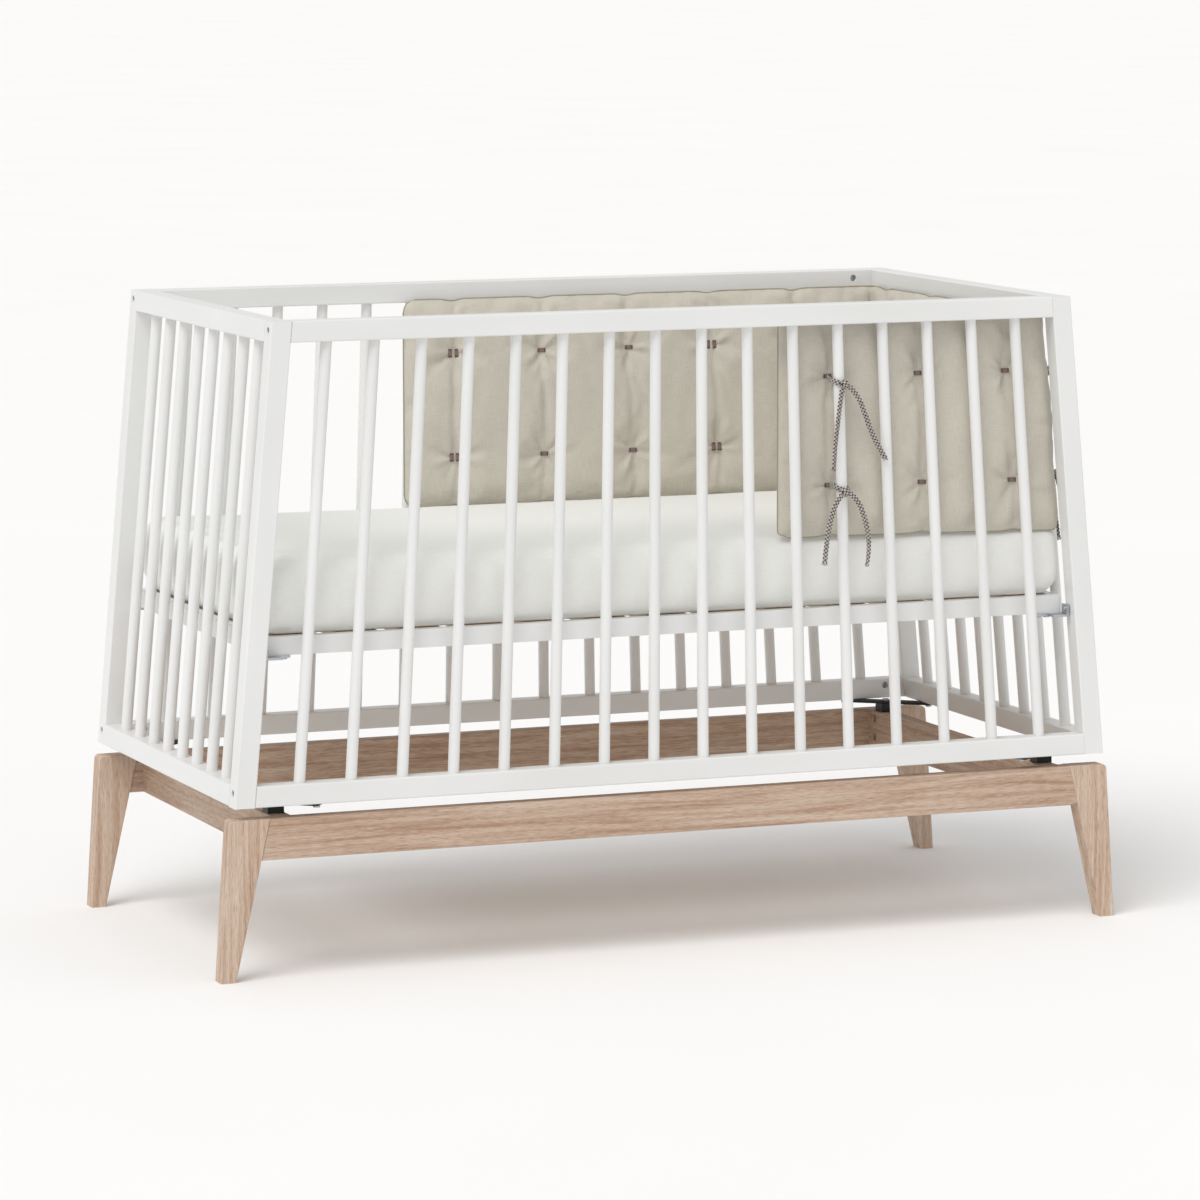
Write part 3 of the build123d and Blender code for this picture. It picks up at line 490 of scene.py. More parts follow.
def thread_piece(name, lay, radius, roundness, capped, finishes):
    """A mesh of the threads that lay(curve) lays."""
    curve = bpy.data.curves.new(name, "CURVE")
    curve.dimensions = "3D"
    curve.bevel_depth = radius
    curve.bevel_resolution = roundness
    curve.use_fill_caps = capped
    for thread_finish in finishes:
        curve.materials.append(thread_finish)
    lay(curve)
    holder = bpy.data.objects.new(name + "_threads", curve)
    mesh = bpy.data.meshes.new_from_object(holder)
    bpy.data.objects.remove(holder)
    bpy.data.curves.remove(curve)
    mesh.name = name
    mesh.shade_smooth()
    made = bpy.data.objects.new(name, mesh)
    bpy.context.collection.objects.link(made)
    return made


def braided_piece(name, lay):
    made = thread_piece(name, lay, YARN_RADIUS, 0, True, (brown_yarn, natural_yarn))
    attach(made, "cot")
    return made


# %% [markdown]
# ## Where the ties are
# The bumper is held at three places along the sides and one at the end, high and low. Each tie goes round one
# slat, so it is easiest to give its points from that slat: how far along the panel, how far out from the slat,
# and how far up it. The slats fan out and the end panel leans, and those three ways lean with the slat.

# %% The slats that the ties go round
RAIL_OVER, RAIL_UNDER = 0.275, 0.890    # heights between which the slats show
SIDE_PITCH_LOW, SIDE_PITCH_HIGH = 0.0762, 0.0702
SIDE_MIDDLE, SIDE_Y = 7.5, 0.3175
END_PITCH, END_SLAT_MIDDLE = 0.069, 3.5
BODY_FOOT, BODY_END, LEAN = 0.245, 0.6705, 0.08963
TIMBER = 0.030


def end_plane(height):
    """X of the end slats' axes at a height: the end panel leans in towards the top."""
    return BODY_END - LEAN * (height - BODY_FOOT) - TIMBER / 2


def slat_ways(panel, index, height):
    """A point on a slat's axis, with the ways along the panel, outwards and up the slat."""
    if panel == "end":
        y = (index - END_SLAT_MIDDLE) * END_PITCH
        low = Vector((end_plane(RAIL_OVER), y, RAIL_OVER))
        high = Vector((end_plane(RAIL_UNDER), y, RAIL_UNDER))
        along, out = Vector((0, 1, 0)), Vector((1, 0, 0))
    else:
        side = 1 if panel == "rear" else -1
        low = Vector(((index - SIDE_MIDDLE) * SIDE_PITCH_LOW, side * SIDE_Y, RAIL_OVER))
        high = Vector(((index - SIDE_MIDDLE) * SIDE_PITCH_HIGH, side * SIDE_Y, RAIL_UNDER))
        along, out = Vector((-side, 0, 0)), Vector((0, side, 0))
    up = (high - low).normalized()
    foot = low + up * ((height - low.z) / up.z)
    along, out = ((way - up * way.dot(up)).normalized() for way in (along, out))
    return foot, along, out, up


def near_slat(ways, along_mm, out_mm, up_mm):
    foot, along, out, up = ways
    return foot + (along * along_mm + out * out_mm + up * up_mm) * MM


# %% [markdown]
# ## The hanging ends
# Six shapes of hanging end are shared by the ties, so no two neighbours match. Each starts at the knot, turns
# down within a few widths, and falls close to the slats. A tape also turns about its own line as it hangs, so
# each has an angle at its tip: at 70 degrees it is seen on edge.

# %% Hang the tie ends
TIE_HIGH, TIE_LOW = 0.803, 0.649
TIE_ENDS = {
    "long_near": [(-1, 15, -4), (-7, 17, -30), (-12, 17.5, -62), (-16.5, 17, -93), (-18, 16, -118)],
    "long_far": [(8, 15, -1), (20, 18, -13), (31, 18.5, -41), (41, 18, -71), (54, 17, -95), (62, 16, -109)],
    "short_near": [(-5, 15, -2), (-17, 17, -14), (-27, 18, -40), (-34, 18, -71), (-37, 16.5, -99)],
    "short_far": [(4, 15, 0), (16, 18, -11), (26, 18.5, -36), (32, 18, -63), (33, 17, -88), (30, 16, -106)],
    "straight_near": [(1, 15, -5), (-4, 17, -27), (-6, 17.5, -54), (-3, 16.5, -79)],
    "straight_far": [(11, 15, -3), (16, 18, -22), (18, 18.5, -48), (15, 17, -74), (10, 16, -95)],
}
TIP_ANGLES = {"long_near": -25, "long_far": 20, "short_near": 10, "short_far": 72, "straight_near": 40,
              "straight_far": -30}
TIES = {
    "front_upper": ("front", 11, TIE_HIGH, "long"),
    "front_lower": ("front", 11, TIE_LOW, "short"),
    "rear_upper_left": ("rear", 6, TIE_HIGH, "short"),
    "rear_lower_left": ("rear", 6, TIE_LOW, "long"),
    "rear_upper_right": ("rear", 12, TIE_HIGH, "long"),
    "rear_lower_right": ("rear", 12, TIE_LOW, "short"),
    "end_upper": ("end", 0, TIE_HIGH, "short"),
    "end_lower": ("end", 0, TIE_LOW, "straight"),
}


def hang_end(tie, which):
    panel, index, height, shape = TIES[tie]
    ways = slat_ways(panel, index, height)
    line = smooth_line([near_slat(ways, *place) for place in TIE_ENDS[f"{shape}_{which}"]])
    tip_angle = math.radians(TIP_ANGLES[f"{shape}_{which}"])

    def across(share):
        return ways[1] * math.cos(tip_angle * share) + ways[2] * math.sin(tip_angle * share)

    name = f"tie_{tie}_{which}"
    made = braided_piece("braided_" + name, lambda curve: braid(curve, line, across, frayed=True))
    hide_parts(name)
    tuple(line[0])
    length_of(line)
    return length_of(line)


for tie in TIES:
    print(tie, [f"{hang_end(tie, which) / MM:.0f} mm" for which in ("near", "far")])

# %% [markdown]
# ## Loops and knots
# From the bumper's tab the tape goes round the slat and comes back to the tab, with its width up the slat. An
# overhand knot holds the two ends in front of the slat. Modelled in full, the knot would be hidden in itself.
# What the eye reads is two slanted turns of tape that cross each other, so those two turns are what is made.

# %% Tie the loops and knots
LOOP = [(-11, -15, 9), (-12, -6, 8), (-10.8, 4.5, 6), (-4.5, 11, 3), (4.5, 11, 1), (10.8, 4.5, 1),
        (11.3, -5, 3), (4, -12.5, 6), (-5, -15, 8)]
TAB_SIDES = {"front": 1, "rear": -1, "end": 1}
KNOT_MIDDLE = {"long": (3, 15, 1), "short": (-1, 15, 0), "straight": (3, 15, 0)}
KNOT_TURNS = [(38, 5.6, 2.6), (-34, 6.4, 4.0)]   # slant in degrees, half height and half depth in millimetres
TURN_POINTS = 11


def knot_turn(ways, knot_middle, slant, half_height, half_depth):
    """A closed turn of tape round the knot's middle, and the way across that tape."""
    foot, along, out, up = ways
    slant = math.radians(slant)
    rise = up * math.cos(slant) + along * math.sin(slant)
    across = along * math.cos(slant) - up * math.sin(slant)
    middle = near_slat(ways, *knot_middle)
    places = []
    for k in range(TURN_POINTS):
        angle = math.radians(-200 + 400 * k / (TURN_POINTS - 1))
        shift = rise * math.sin(angle) * half_height + out * math.cos(angle) * half_depth
        places.append(middle + shift * MM)
    return smooth_line(places), across


def lay_knot(curve, tie):
    panel, index, height, shape = TIES[tie]
    ways = slat_ways(panel, index, height)
    side = TAB_SIDES[panel]
    loop = smooth_line([near_slat(ways, side * a, b, c) for a, b, c in LOOP])
    braid(curve, loop, lambda share: ways[3])
    for slant, half_height, half_depth in KNOT_TURNS:
        line, across = knot_turn(ways, KNOT_MIDDLE[shape], slant, half_height, half_depth)
        braid(curve, line, lambda share: across)


knots = [braided_piece(f"knotted_tie_{tie}", lambda curve: lay_knot(curve, tie)) for tie in TIES]
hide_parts("tie_knots")
print(len(knots), "knots")

# %% [markdown]
# ## Filling a pad
# A quilted pad is a flat case sewn shut and filled, so its skin is pulled tight in between its seams. Cloth
# simulation gives that: a thin closed case is given an even mesh and blown up by a small pressure, with its
# sewn places held. The movement is capped, since a real filling has only so much loft, and the result is
# written to the mesh so that nothing is left to simulate.

# %% Helpers for soft pieces
SWELL_FRAMES = 20


def new_object(name, bm):
    mesh = bpy.data.meshes.new(name)
    bm.to_mesh(mesh)
    bm.free()
    made = bpy.data.objects.new(name, mesh)
    bpy.context.collection.objects.link(made)
    return made


def settle(obj):
    """Write what an object's modifiers make to its mesh."""
    shaped = bpy.data.meshes.new_from_object(obj.evaluated_get(bpy.context.evaluated_depsgraph_get()))
    flat = obj.data
    obj.modifiers.clear()
    obj.data = shaped
    bpy.data.meshes.remove(flat)


def even_mesh(obj, voxel):
    remesh = obj.modifiers.new("even mesh", "REMESH")
    remesh.mode = "VOXEL"
    remesh.voxel_size = voxel
    settle(obj)


def swell(obj, held, cap, pressure=4.0, slack=0.0):
    """Blow a closed case up. held(place) says which points are sewn down; slack is spare cloth, as a share."""
    group = obj.vertex_groups.new(name="sewn")
    group.add([v.index for v in obj.data.vertices if held(v.co)], 1.0, "REPLACE")
    cloth = obj.modifiers.new("filling", "CLOTH")
    cloth.settings.quality = 4
    cloth.settings.mass = 0.2
    cloth.settings.bending_stiffness = 0.4
    cloth.settings.shrink_min = -slack
    cloth.settings.use_pressure = True
    cloth.settings.uniform_pressure_force = pressure
    cloth.settings.vertex_group_mass = "sewn"
    cloth.settings.effector_weights.gravity = 0
    cloth.collision_settings.use_collision = False
    cloth.point_cache.frame_end = SWELL_FRAMES
    for step in range(1, SWELL_FRAMES + 1):
        bpy.context.scene.frame_set(step)
    swollen = obj.evaluated_get(bpy.context.evaluated_depsgraph_get())
    places = [v.co.copy() for v in swollen.data.vertices]
    obj.modifiers.clear()
    obj.vertex_groups.clear()
    for v, place in zip(obj.data.vertices, places):
        move = place - v.co
        v.co += move.normalized() * min(move.length, cap)
    bpy.context.scene.frame_set(1)


def finer(obj):
    smooth = obj.modifiers.new("finer", "SUBSURF")
    smooth.levels = smooth.render_levels = 1
    settle(obj)


def hollow(distance, width):
    """1 in the middle of a groove or dimple, falling smoothly to 0."""
    return math.exp(-(distance / width) ** 2)


# %% [markdown]
# ## The bumper, laid flat
# The bumper is one long quilted strip that runs along the back, round the right end and along part of the
# front. It is easiest to make where a sewer makes it, flat on a table, and to fold it into the cot afterwards.
# Flat, a point is so far along the strip, so far through its thickness and so far up. The two corners of the
# cot are sewn channels across the strip, where it folds.

# %% Sizes of the flat strip
PAD_THICKNESS = 22 * MM
START_THICKNESS = 13 * MM              # the case starts thinner and swells
PAD_TOP, PAD_FOOT, FRONT_FOOT = 0.895, 0.580, 0.581
FRONT_SAG = 0.007                     # the front hangs over the mattress's rounded corner
PAD_HEIGHT = PAD_TOP - PAD_FOOT
BACK_FROM, FRONT_FROM = -0.197, 0.164
PAD_Y = 0.2905                         # middle of the strip's thickness along the sides
FOLD_RADIUS = 0.009
CORNER_OUT, CORNER_REACH = 0.009, 0.026   # the front corner fills the gap between post and slat
END_PRESS = 0.005                     # the strip presses out between the end slats' rails
CORNER_ROUNDING = 0.012
PAD_MIDDLE = (PAD_TOP + PAD_FOOT) / 2


def pad_end(height):
    """X of the strip's middle where it runs across the leaning end panel."""
    return end_plane(height) - TIMBER / 2 + END_PRESS - PAD_THICKNESS / 2


FOLD_X = pad_end(PAD_MIDDLE) - FOLD_RADIUS
BACK_RUN = FOLD_X - BACK_FROM
FOLD_RUN = FOLD_RADIUS * math.pi / 2
END_RUN = 2 * (PAD_Y - FOLD_RADIUS)
FRONT_RUN = FOLD_X - FRONT_FROM
FIRST_FOLD = BACK_RUN
END_START = FIRST_FOLD + FOLD_RUN
SECOND_FOLD = END_START + END_RUN
FRONT_START = SECOND_FOLD + FOLD_RUN
STRIP = FRONT_START + FRONT_RUN
FOLD_LINES = (FIRST_FOLD + FOLD_RUN / 2, SECOND_FOLD + FOLD_RUN / 2)
print(f"flat strip {STRIP:.3f} by {PAD_HEIGHT:.3f} m")


def fold(flat):
    """Where a point of the flat strip lies in the cot."""
    run, through, rise = flat
    share = max(0.0, min(1.0, (run - SECOND_FOLD) / FOLD_RUN))
    front_foot = FRONT_FOOT - FRONT_SAG * max(0.0, min(1.0, (STRIP - run) / FRONT_RUN)) ** 2
    foot = PAD_FOOT + (front_foot - PAD_FOOT) * share
    height = PAD_TOP - (PAD_HEIGHT - rise) * (PAD_TOP - foot) / PAD_HEIGHT
    lean = pad_end(height) - pad_end(PAD_MIDDLE)
    lean += CORNER_OUT * math.exp(-((run - FOLD_LINES[1]) / CORNER_REACH) ** 2)
    if run < FIRST_FOLD:
        return Vector((BACK_FROM + run * (1 + lean / BACK_RUN), PAD_Y + through, height))
    if run < END_START:
        angle = (run - FIRST_FOLD) / FOLD_RADIUS
        reach = FOLD_RADIUS + through
        return Vector((FOLD_X + lean + reach * math.sin(angle), PAD_Y - FOLD_RADIUS + reach * math.cos(angle),
                       height))
    if run < SECOND_FOLD:
        across = PAD_Y - FOLD_RADIUS - (run - END_START)
        return Vector((FOLD_X + lean + FOLD_RADIUS + through, across, height))
    if run < FRONT_START:
        angle = (run - SECOND_FOLD) / FOLD_RADIUS
        reach = FOLD_RADIUS + through
        return Vector((FOLD_X + lean + reach * math.cos(angle), FOLD_RADIUS - PAD_Y - reach * math.sin(angle),
                       height))
    left = STRIP - run
    return Vector((FRONT_FROM + left * (1 + lean / FRONT_RUN), -PAD_Y - through, height))


# %% [markdown]
# ## Where the quilting is sewn down
# Two rows of small brown tabs hold the filling. Where a tie is sewn on behind, there are two upright tabs side
# by side; between them single tabs lie level. At each the strip is pinched to two fifths of its thickness.

# %% Quilting places
QUILT_ROWS = (0.655 - PAD_FOOT, 0.813 - PAD_FOOT)
BACK_TABS = {-0.118: "pair", 0.026: "single", 0.170: "single", 0.308: "pair", 0.452: "single"}
END_TABS = {0.236: "single", 0.079: "single", -0.079: "single", -0.244: "pair"}
FRONT_TABS = {0.529: "single", 0.387: "single", 0.242: "pair"}
COLUMNS = {x - BACK_FROM: kind for x, kind in BACK_TABS.items()}
COLUMNS.update({END_START + PAD_Y - FOLD_RADIUS - y: kind for y, kind in END_TABS.items()})
COLUMNS.update({STRIP - (x - FRONT_FROM): kind for x, kind in FRONT_TABS.items()})
SEWN_DOWN = [(run, rise) for run in COLUMNS for rise in QUILT_ROWS]
PINCH = 0.62                           # share of the thickness that a tab takes away


def from_edge(flat):
    return min(flat.x, STRIP - flat.x, flat.z, PAD_HEIGHT - flat.z)


def nearest_tab(flat):
    return min(math.hypot(flat.x - run, flat.z - rise) for run, rise in SEWN_DOWN)


def nearest_fold(flat):
    return min(abs(flat.x - line) for line in FOLD_LINES)


# %% [markdown]
# The case starts as a thin block with its free corners rounded. The even mesh makes it all squares, and then
# its thickness is drawn in towards the sewn edge, the tabs and the folds before it is swollen.

# %% Sew and fill the strip
PAD_VOXEL = 7 * MM
LOFT_CAP = 7 * MM
SEAM_TAPER = 15 * MM


def sewn(flat):
    return from_edge(flat) < 2.5 * MM or nearest_tab(flat) < 6 * MM or nearest_fold(flat) < 4 * MM


bm = bmesh.new()
bmesh.ops.create_cube(bm, size=1)
bmesh.ops.scale(bm, verts=bm.verts, vec=(STRIP, START_THICKNESS, PAD_HEIGHT))
bmesh.ops.translate(bm, verts=bm.verts, vec=(STRIP / 2, 0, PAD_HEIGHT / 2))
through_edges = [e for e in bm.edges if abs((e.verts[0].co - e.verts[1].co).y) > START_THICKNESS / 2]
bmesh.ops.bevel(bm, geom=through_edges, offset=CORNER_ROUNDING, segments=6, profile=0.5, affect="EDGES",
                material=-1)
bumper = new_object("quilted_bumper", bm)
even_mesh(bumper, PAD_VOXEL)
for v in bumper.data.vertices:
    inside = min(1.0, max(0.0, from_edge(v.co)) / SEAM_TAPER)
    edge = 0.2 + 0.8 * math.sqrt(1 - (1 - inside) ** 2)
    pinch = max(hollow(nearest_tab(v.co), 16 * MM), 0.9 * hollow(nearest_fold(v.co), 7 * MM))
    v.co.y *= edge * (1 - PINCH * pinch)
swell(bumper, sewn, LOFT_CAP, pressure=5.0, slack=0.015)
finer(bumper)
print(len(bumper.data.vertices), "points in the bumper")

# %% [markdown]
# ## Creases
# Filled cloth doesn't only bulge. It folds softly from tab to tab and from the tabs to the edges, and puckers
# where the thread pulls. These marks are smaller than the simulation's mesh, so they are pressed in
# afterwards: a wandering groove up each column of tabs, short rays round each tab, and a slow unevenness of
# the filling.

# %% Press in the creases
COLUMN_DEPTH, COLUMN_WIDTH, COLUMN_WANDER = 5.2 * MM, 6 * MM, 9 * MM
PUCKER_DEPTH, PUCKER_FROM_TAB, PUCKER_WIDTH = 2.0 * MM, 18 * MM, 19 * MM
FOLD_DEPTH, FOLD_WIDTH, FOLD_WANDER = 1.5 * MM, 4 * MM, 3 * MM
LUMPS, SMALL_LUMPS = 3.0 * MM, 1.8 * MM
SMOOTH_BY_TAB = 8 * MM
EDGE_DIP, EDGE_DIP_WIDTH, EDGE_SHARE = 3.0 * MM, 12 * MM, 0.2


def crease(flat):
    """How far the skin sinks at a point, in metres."""
    side = 1 if flat.y > 0 else -1
    sink = 0.0
    for number, run in enumerate(COLUMNS):
        wander = COLUMN_WANDER * noise.noise(Vector((number * 3.7, flat.z * 11, side)))
        strength = 0.6 + 1.1 * noise.noise(Vector((number * 5.1, flat.z * 9 + 4, side * 2)))
        sink += COLUMN_DEPTH * max(0.15, strength) * hollow(flat.x - run - wander, COLUMN_WIDTH)
    for number, (run, rise) in enumerate(SEWN_DOWN):
        reach = math.hypot(flat.x - run, flat.z - rise)
        if reach < 70 * MM:
            angle = math.atan2(flat.z - rise, flat.x - run)
            rays = math.sin(5 * angle + number * 2.1) + 0.6 * math.sin(9 * angle + number)
            sink += PUCKER_DEPTH * rays * hollow(reach - PUCKER_FROM_TAB, PUCKER_WIDTH)
    for line in FOLD_LINES:
        wander = FOLD_WANDER * noise.noise(Vector((line * 9, flat.z * 15, side)))
        sink += FOLD_DEPTH * hollow(flat.x - line - wander, FOLD_WIDTH)
    sink += LUMPS * noise.noise(Vector((flat.x * 14, flat.z * 9, side * 3)))
    sink += SMALL_LUMPS * noise.noise(Vector((flat.x * 38, flat.z * 16, side * 5)))
    return sink * (1 - hollow(nearest_tab(flat), SMOOTH_BY_TAB))


def edge_dip(flat):
    """How far the top and bottom edges are drawn in beside each column of tabs."""
    beside = max(hollow(flat.x - run, EDGE_DIP_WIDTH) for run in COLUMNS)
    share = flat.z / PAD_HEIGHT
    high = max(0.0, share - (1 - EDGE_SHARE)) / EDGE_SHARE
    low = max(0.0, EDGE_SHARE - share) / EDGE_SHARE
    return EDGE_DIP * beside * (low - high)


MOST_OUT = 16.0 * MM                   # the side slats stand 19 mm from the strip's middle
MOST_OUT_AT_END = 12.0 * MM            # and the end slats 13 mm
for v in bumper.data.vertices:
    fullness = min(1.0, max(0.0, from_edge(v.co)) / (12 * MM))
    side = 1 if v.co.y > 0 else -1
    v.co.y -= side * crease(v.co) * fullness * min(1.0, abs(v.co.y) / (4 * MM))
    most = MOST_OUT_AT_END if FIRST_FOLD < v.co.x < FRONT_START else MOST_OUT
    v.co.y = max(-MOST_OUT, min(most, v.co.y))
    v.co.z += edge_dip(v.co)
flat_skin = BVHTree.FromObject(bumper, bpy.context.evaluated_depsgraph_get())

# %% [markdown]
# ## The cloth's own coordinates
# The weave has to follow the cloth round the corners. So before the strip is folded, each point's place on the
# flat strip is written to its UV map, and the linen reads that.

# %% Unwrap, then fold the strip into the cot
def lay_map(obj, flat_place):
    """Write each corner's place on the flat cloth, in metres, to a new UV map."""
    mesh = obj.data
    layer = mesh.uv_layers.new(name="cloth")
    for corner in mesh.loops:
        layer.data[corner.index].uv = flat_place(mesh.vertices[corner.vertex_index])


lay_map(bumper, lambda v: (v.co.x, v.co.z + v.co.y))
for v in bumper.data.vertices:
    v.co = fold(v.co)
bumper.data.update()
bumper.data.shade_smooth()
bumper.data.materials.append(linen)
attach(bumper, "cot")
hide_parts("bumper_back", "bumper_end", "bumper_front")
print("bumper", [round(side, 3) for side in bumper.dimensions])

# %% [markdown]
# ## The sewn edge
# A raised seam 2 mm thick runs all round the strip where front and back are joined. It has to lie on the
# swollen edge, wherever that ended up, so its line is found by looking in at the flat strip from outside.

# %% Sew the edge
SEAM_STEP = 8 * MM
SEAM_THICKNESS = 2.0 * MM


def outline():
    """Points round the flat strip, just outside it, each with the way in."""
    half_x, half_z, r = STRIP / 2, PAD_HEIGHT / 2, CORNER_ROUNDING
    corners = [(half_x - r, half_z - r, 0), (r - half_x, half_z - r, 90), (r - half_x, r - half_z, 180),
               (half_x - r, r - half_z, 270)]
    rounded = []
    for x, z, start in corners:
        for k in range(7):
            angle = math.radians(start + 15 * k)
            rounded.append((Vector((x + r * math.cos(angle), 0, z + r * math.sin(angle))),
                            Vector((math.cos(angle), 0, math.sin(angle)))))
    for (a, way_a), (b, way_b) in zip(rounded, rounded[1:] + rounded[:1]):
        steps = max(1, round((b - a).length / SEAM_STEP))
        for k in range(steps):
            way = way_a.lerp(way_b, k / steps).normalized()
            yield a.lerp(b, k / steps) + Vector((half_x, 0, half_z)) + way * 30 * MM, -way


def ring(name, line, thickness, thread):
    """A closed round cord of thread along a line."""
    def lay(curve):
        add_yarn(curve, line, 0)
        curve.splines[0].use_cyclic_u = True

    return thread_piece(name, lay, thickness / 2, 2, False, [thread])


seam_line = []
for outside, way in outline():
    hit = flat_skin.ray_cast(outside, way)[0]
    if hit:
        seam_line.append(fold(hit - way * 0.3 * MM))
seam = ring("bumper_edge_seam", seam_line, SEAM_THICKNESS, seam_thread)
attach(seam, "cot")
print("seam", round(length_of(seam_line), 2), "m")

# %% [markdown]
# ## Tabs
# Each tab is a scrap of twill tape 13 mm long and 6.5 mm wide, stitched through the strip, so one shows on
# each face. Behind an upright pair there is one level tab, which the tie comes out of. A small block with
# rounded edges, bent with the strip, is enough: the tape's own texture is in its finish, and a bar of thread
# crosses it near each end. The bar is in the dark brown yarn, which is partly stitching and partly painted shade.

# %% Stitch the tabs on
TAB_LENGTH, TAB_WIDTH, TAB_THICKNESS = 13 * MM, 6.5 * MM, 1.8 * MM
STITCH_FROM_END = 1.6 * MM
PAIR_GAP = 5.0 * MM


def rounded_block(bm, size, place, rounding):
    """Add a block with all its edges rounded; returns its points."""
    fresh = bmesh.ops.create_cube(bm, size=1)["verts"]
    bmesh.ops.scale(bm, verts=fresh, vec=size)
    edges = list({e for v in fresh for e in v.link_edges})
    made = bmesh.ops.bevel(bm, geom=edges, offset=rounding, segments=2, profile=0.5, affect="EDGES",
                           material=-1)
    verts = list({v for f in made["faces"] for v in f.verts})
    bmesh.ops.translate(bm, verts=verts, vec=place)
    return verts


def stitch_tab(bm, run, rise, side, upright):
    """One tab on the outer (1) or inner (-1) face of the flat strip, with a dark bar near each end as painted
    shade.
    """
    hit = flat_skin.ray_cast(Vector((run, side * 50 * MM, rise)), Vector((0, -side, 0)))[0]
    long, wide = (TAB_WIDTH, TAB_LENGTH) if upright else (TAB_LENGTH, TAB_WIDTH)
    surface = hit.y + side * 0.5 * TAB_THICKNESS
    made = rounded_block(bm, (long, TAB_THICKNESS, wide), (run, surface, rise), 0.6 * MM)
    for end in (-1, 1):
        shift = end * (TAB_LENGTH / 2 - STITCH_FROM_END)
        x, z = (0, shift) if upright else (shift, 0)
        size = (long * 0.9, MM, 0.9 * MM) if upright else (0.9 * MM, MM, wide * 0.9)
        bar = rounded_block(bm, size, (run + x, surface + side * TAB_THICKNESS / 2, rise + z), 0.3 * MM)
        # the bar is stitching, and its dark brown yarn is also painted shade at the tab's sunk-in end
        for f in {f for v in bar for f in v.link_faces}:
            f.material_index = 1
        made += bar
    return made


bm = bmesh.new()
for run, kind in COLUMNS.items():
    for rise in QUILT_ROWS:
        for side in (1, -1):
            pair = kind == "pair" and side == -1
            for shift in (-PAIR_GAP, PAIR_GAP) if pair else (0,):
                stitch_tab(bm, run + shift, rise, side, pair)
for v in bm.verts:
    v.co = fold(v.co)
bmesh.ops.recalc_face_normals(bm, faces=bm.faces)
tabs = new_object("stitched_bumper_tabs", bm)
tabs.data.shade_smooth()
tabs.data.materials.append(tape)
tabs.data.materials.append(brown_yarn)
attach(tabs, "cot")
print(len(tabs.data.polygons), "faces in the tabs")

# %% [markdown]
# ## The mattress
# Under the sheet is a foam block in striped ticking, with a piped edge top and bottom. It shows only between
# the base's slats, so it is modelled plainly but fully: a block with soft corners, a little fuller in the
# middle, and two rings of piping.

# %% Mattress
MATTRESS_LOW, MATTRESS_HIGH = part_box("mattress")
INSET = 12 * MM                        # room for the sheet and its folds
MATTRESS_CORNER, MATTRESS_EDGE = 24 * MM, 14 * MM
MATTRESS_VOXEL = 14 * MM
PIPING_THICKNESS, PIPING_SUNK, PIPING_FROM_FACE = 3.5 * MM, 1.2 * MM, 9 * MM


def soft_block(low, high, corner, edge):
    """A closed block with rounded upright corners and rounded rims."""
    bm = bmesh.new()
    bmesh.ops.create_cube(bm, size=1)
    bmesh.ops.scale(bm, verts=bm.verts, vec=high - low)
    bmesh.ops.translate(bm, verts=bm.verts, vec=(low + high) / 2)
    upright = [e for e in bm.edges if abs((e.verts[0].co - e.verts[1].co).z) > (high - low).z / 2]
    bmesh.ops.bevel(bm, geom=upright, offset=corner, segments=6, profile=0.5, affect="EDGES", material=-1)
    rims = [e for e in bm.edges if abs((e.verts[0].co - e.verts[1].co).z) < 1e-6]
    bmesh.ops.bevel(bm, geom=rims, offset=edge, segments=5, profile=0.5, affect="EDGES", material=-1)
    return bm


def rim_line(low, high, corner, height, out):
    """A line round a block's corners at one height."""
    line = []
    for sign_x, sign_y, start in ((1, 1, 0), (-1, 1, 90), (-1, -1, 180), (1, -1, 270)):
        x = (high.x if sign_x > 0 else low.x) - sign_x * corner
        y = (high.y if sign_y > 0 else low.y) - sign_y * corner
        for k in range(9):
            angle = math.radians(start + k * 90 / 8)
            way = Vector((math.cos(angle), math.sin(angle), 0))
            line.append(Vector((x, y, height)) + way * (corner + out))
    return line


low = MATTRESS_LOW + Vector((INSET, INSET, 0.3 * MM))
high = MATTRESS_HIGH - Vector((INSET, INSET, INSET))
bm = soft_block(low, high, MATTRESS_CORNER, MATTRESS_EDGE)
mattress = new_object("foam_mattress", bm)
even_mesh(mattress, MATTRESS_VOXEL)
for v in mattress.data.vertices:
    middle = max(0, 1 - abs(v.co.z - (low.z + high.z) / 2) / 0.05)
    v.co += Vector((v.co.x, v.co.y, 0)).normalized() * 1.5 * MM * middle
lay_map(mattress, lambda v: (v.co.x, v.co.y + v.co.z))
mattress.data.shade_smooth()
mattress.data.materials.append(ticking)
for name, height in (("mattress_top_piping", high.z - PIPING_FROM_FACE),
                     ("mattress_bottom_piping", low.z + PIPING_FROM_FACE)):
    rim = rim_line(low, high, MATTRESS_CORNER, height, -PIPING_SUNK)
    piping = ring(name, rim, PIPING_THICKNESS, ticking)
    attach(piping, "mattress_base")
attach(mattress, "mattress_base")
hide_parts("mattress")
print("mattress", [round(side, 3) for side in mattress.dimensions])

# %% [markdown]
# ## The fitted sheet
# The sheet is a rectangle of cotton with sewn corners and elastic in its hem. It is pulled over the mattress
# and grips it from below, so its sides bulge, its hem waves, and there are gathers at each corner. The same
# swelling as the bumper's gives the stretched top and full sides. Then the part that isn't there, the middle
# of the underside, is cut away, and the gathers are pressed in.

# %% Pull the sheet over
SHEET_LOW, SHEET_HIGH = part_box("fitted_sheet")
SHEET_FULL = Vector((6 * MM, 2 * MM, 0))   # the ends stand fuller than the long sides
SHEET_VOXEL = 10 * MM
HEM_UNDER = 70 * MM                    # how far the hem reaches in under the mattress
SHEET_CORNER, SHEET_EDGE = 18 * MM, 24 * MM


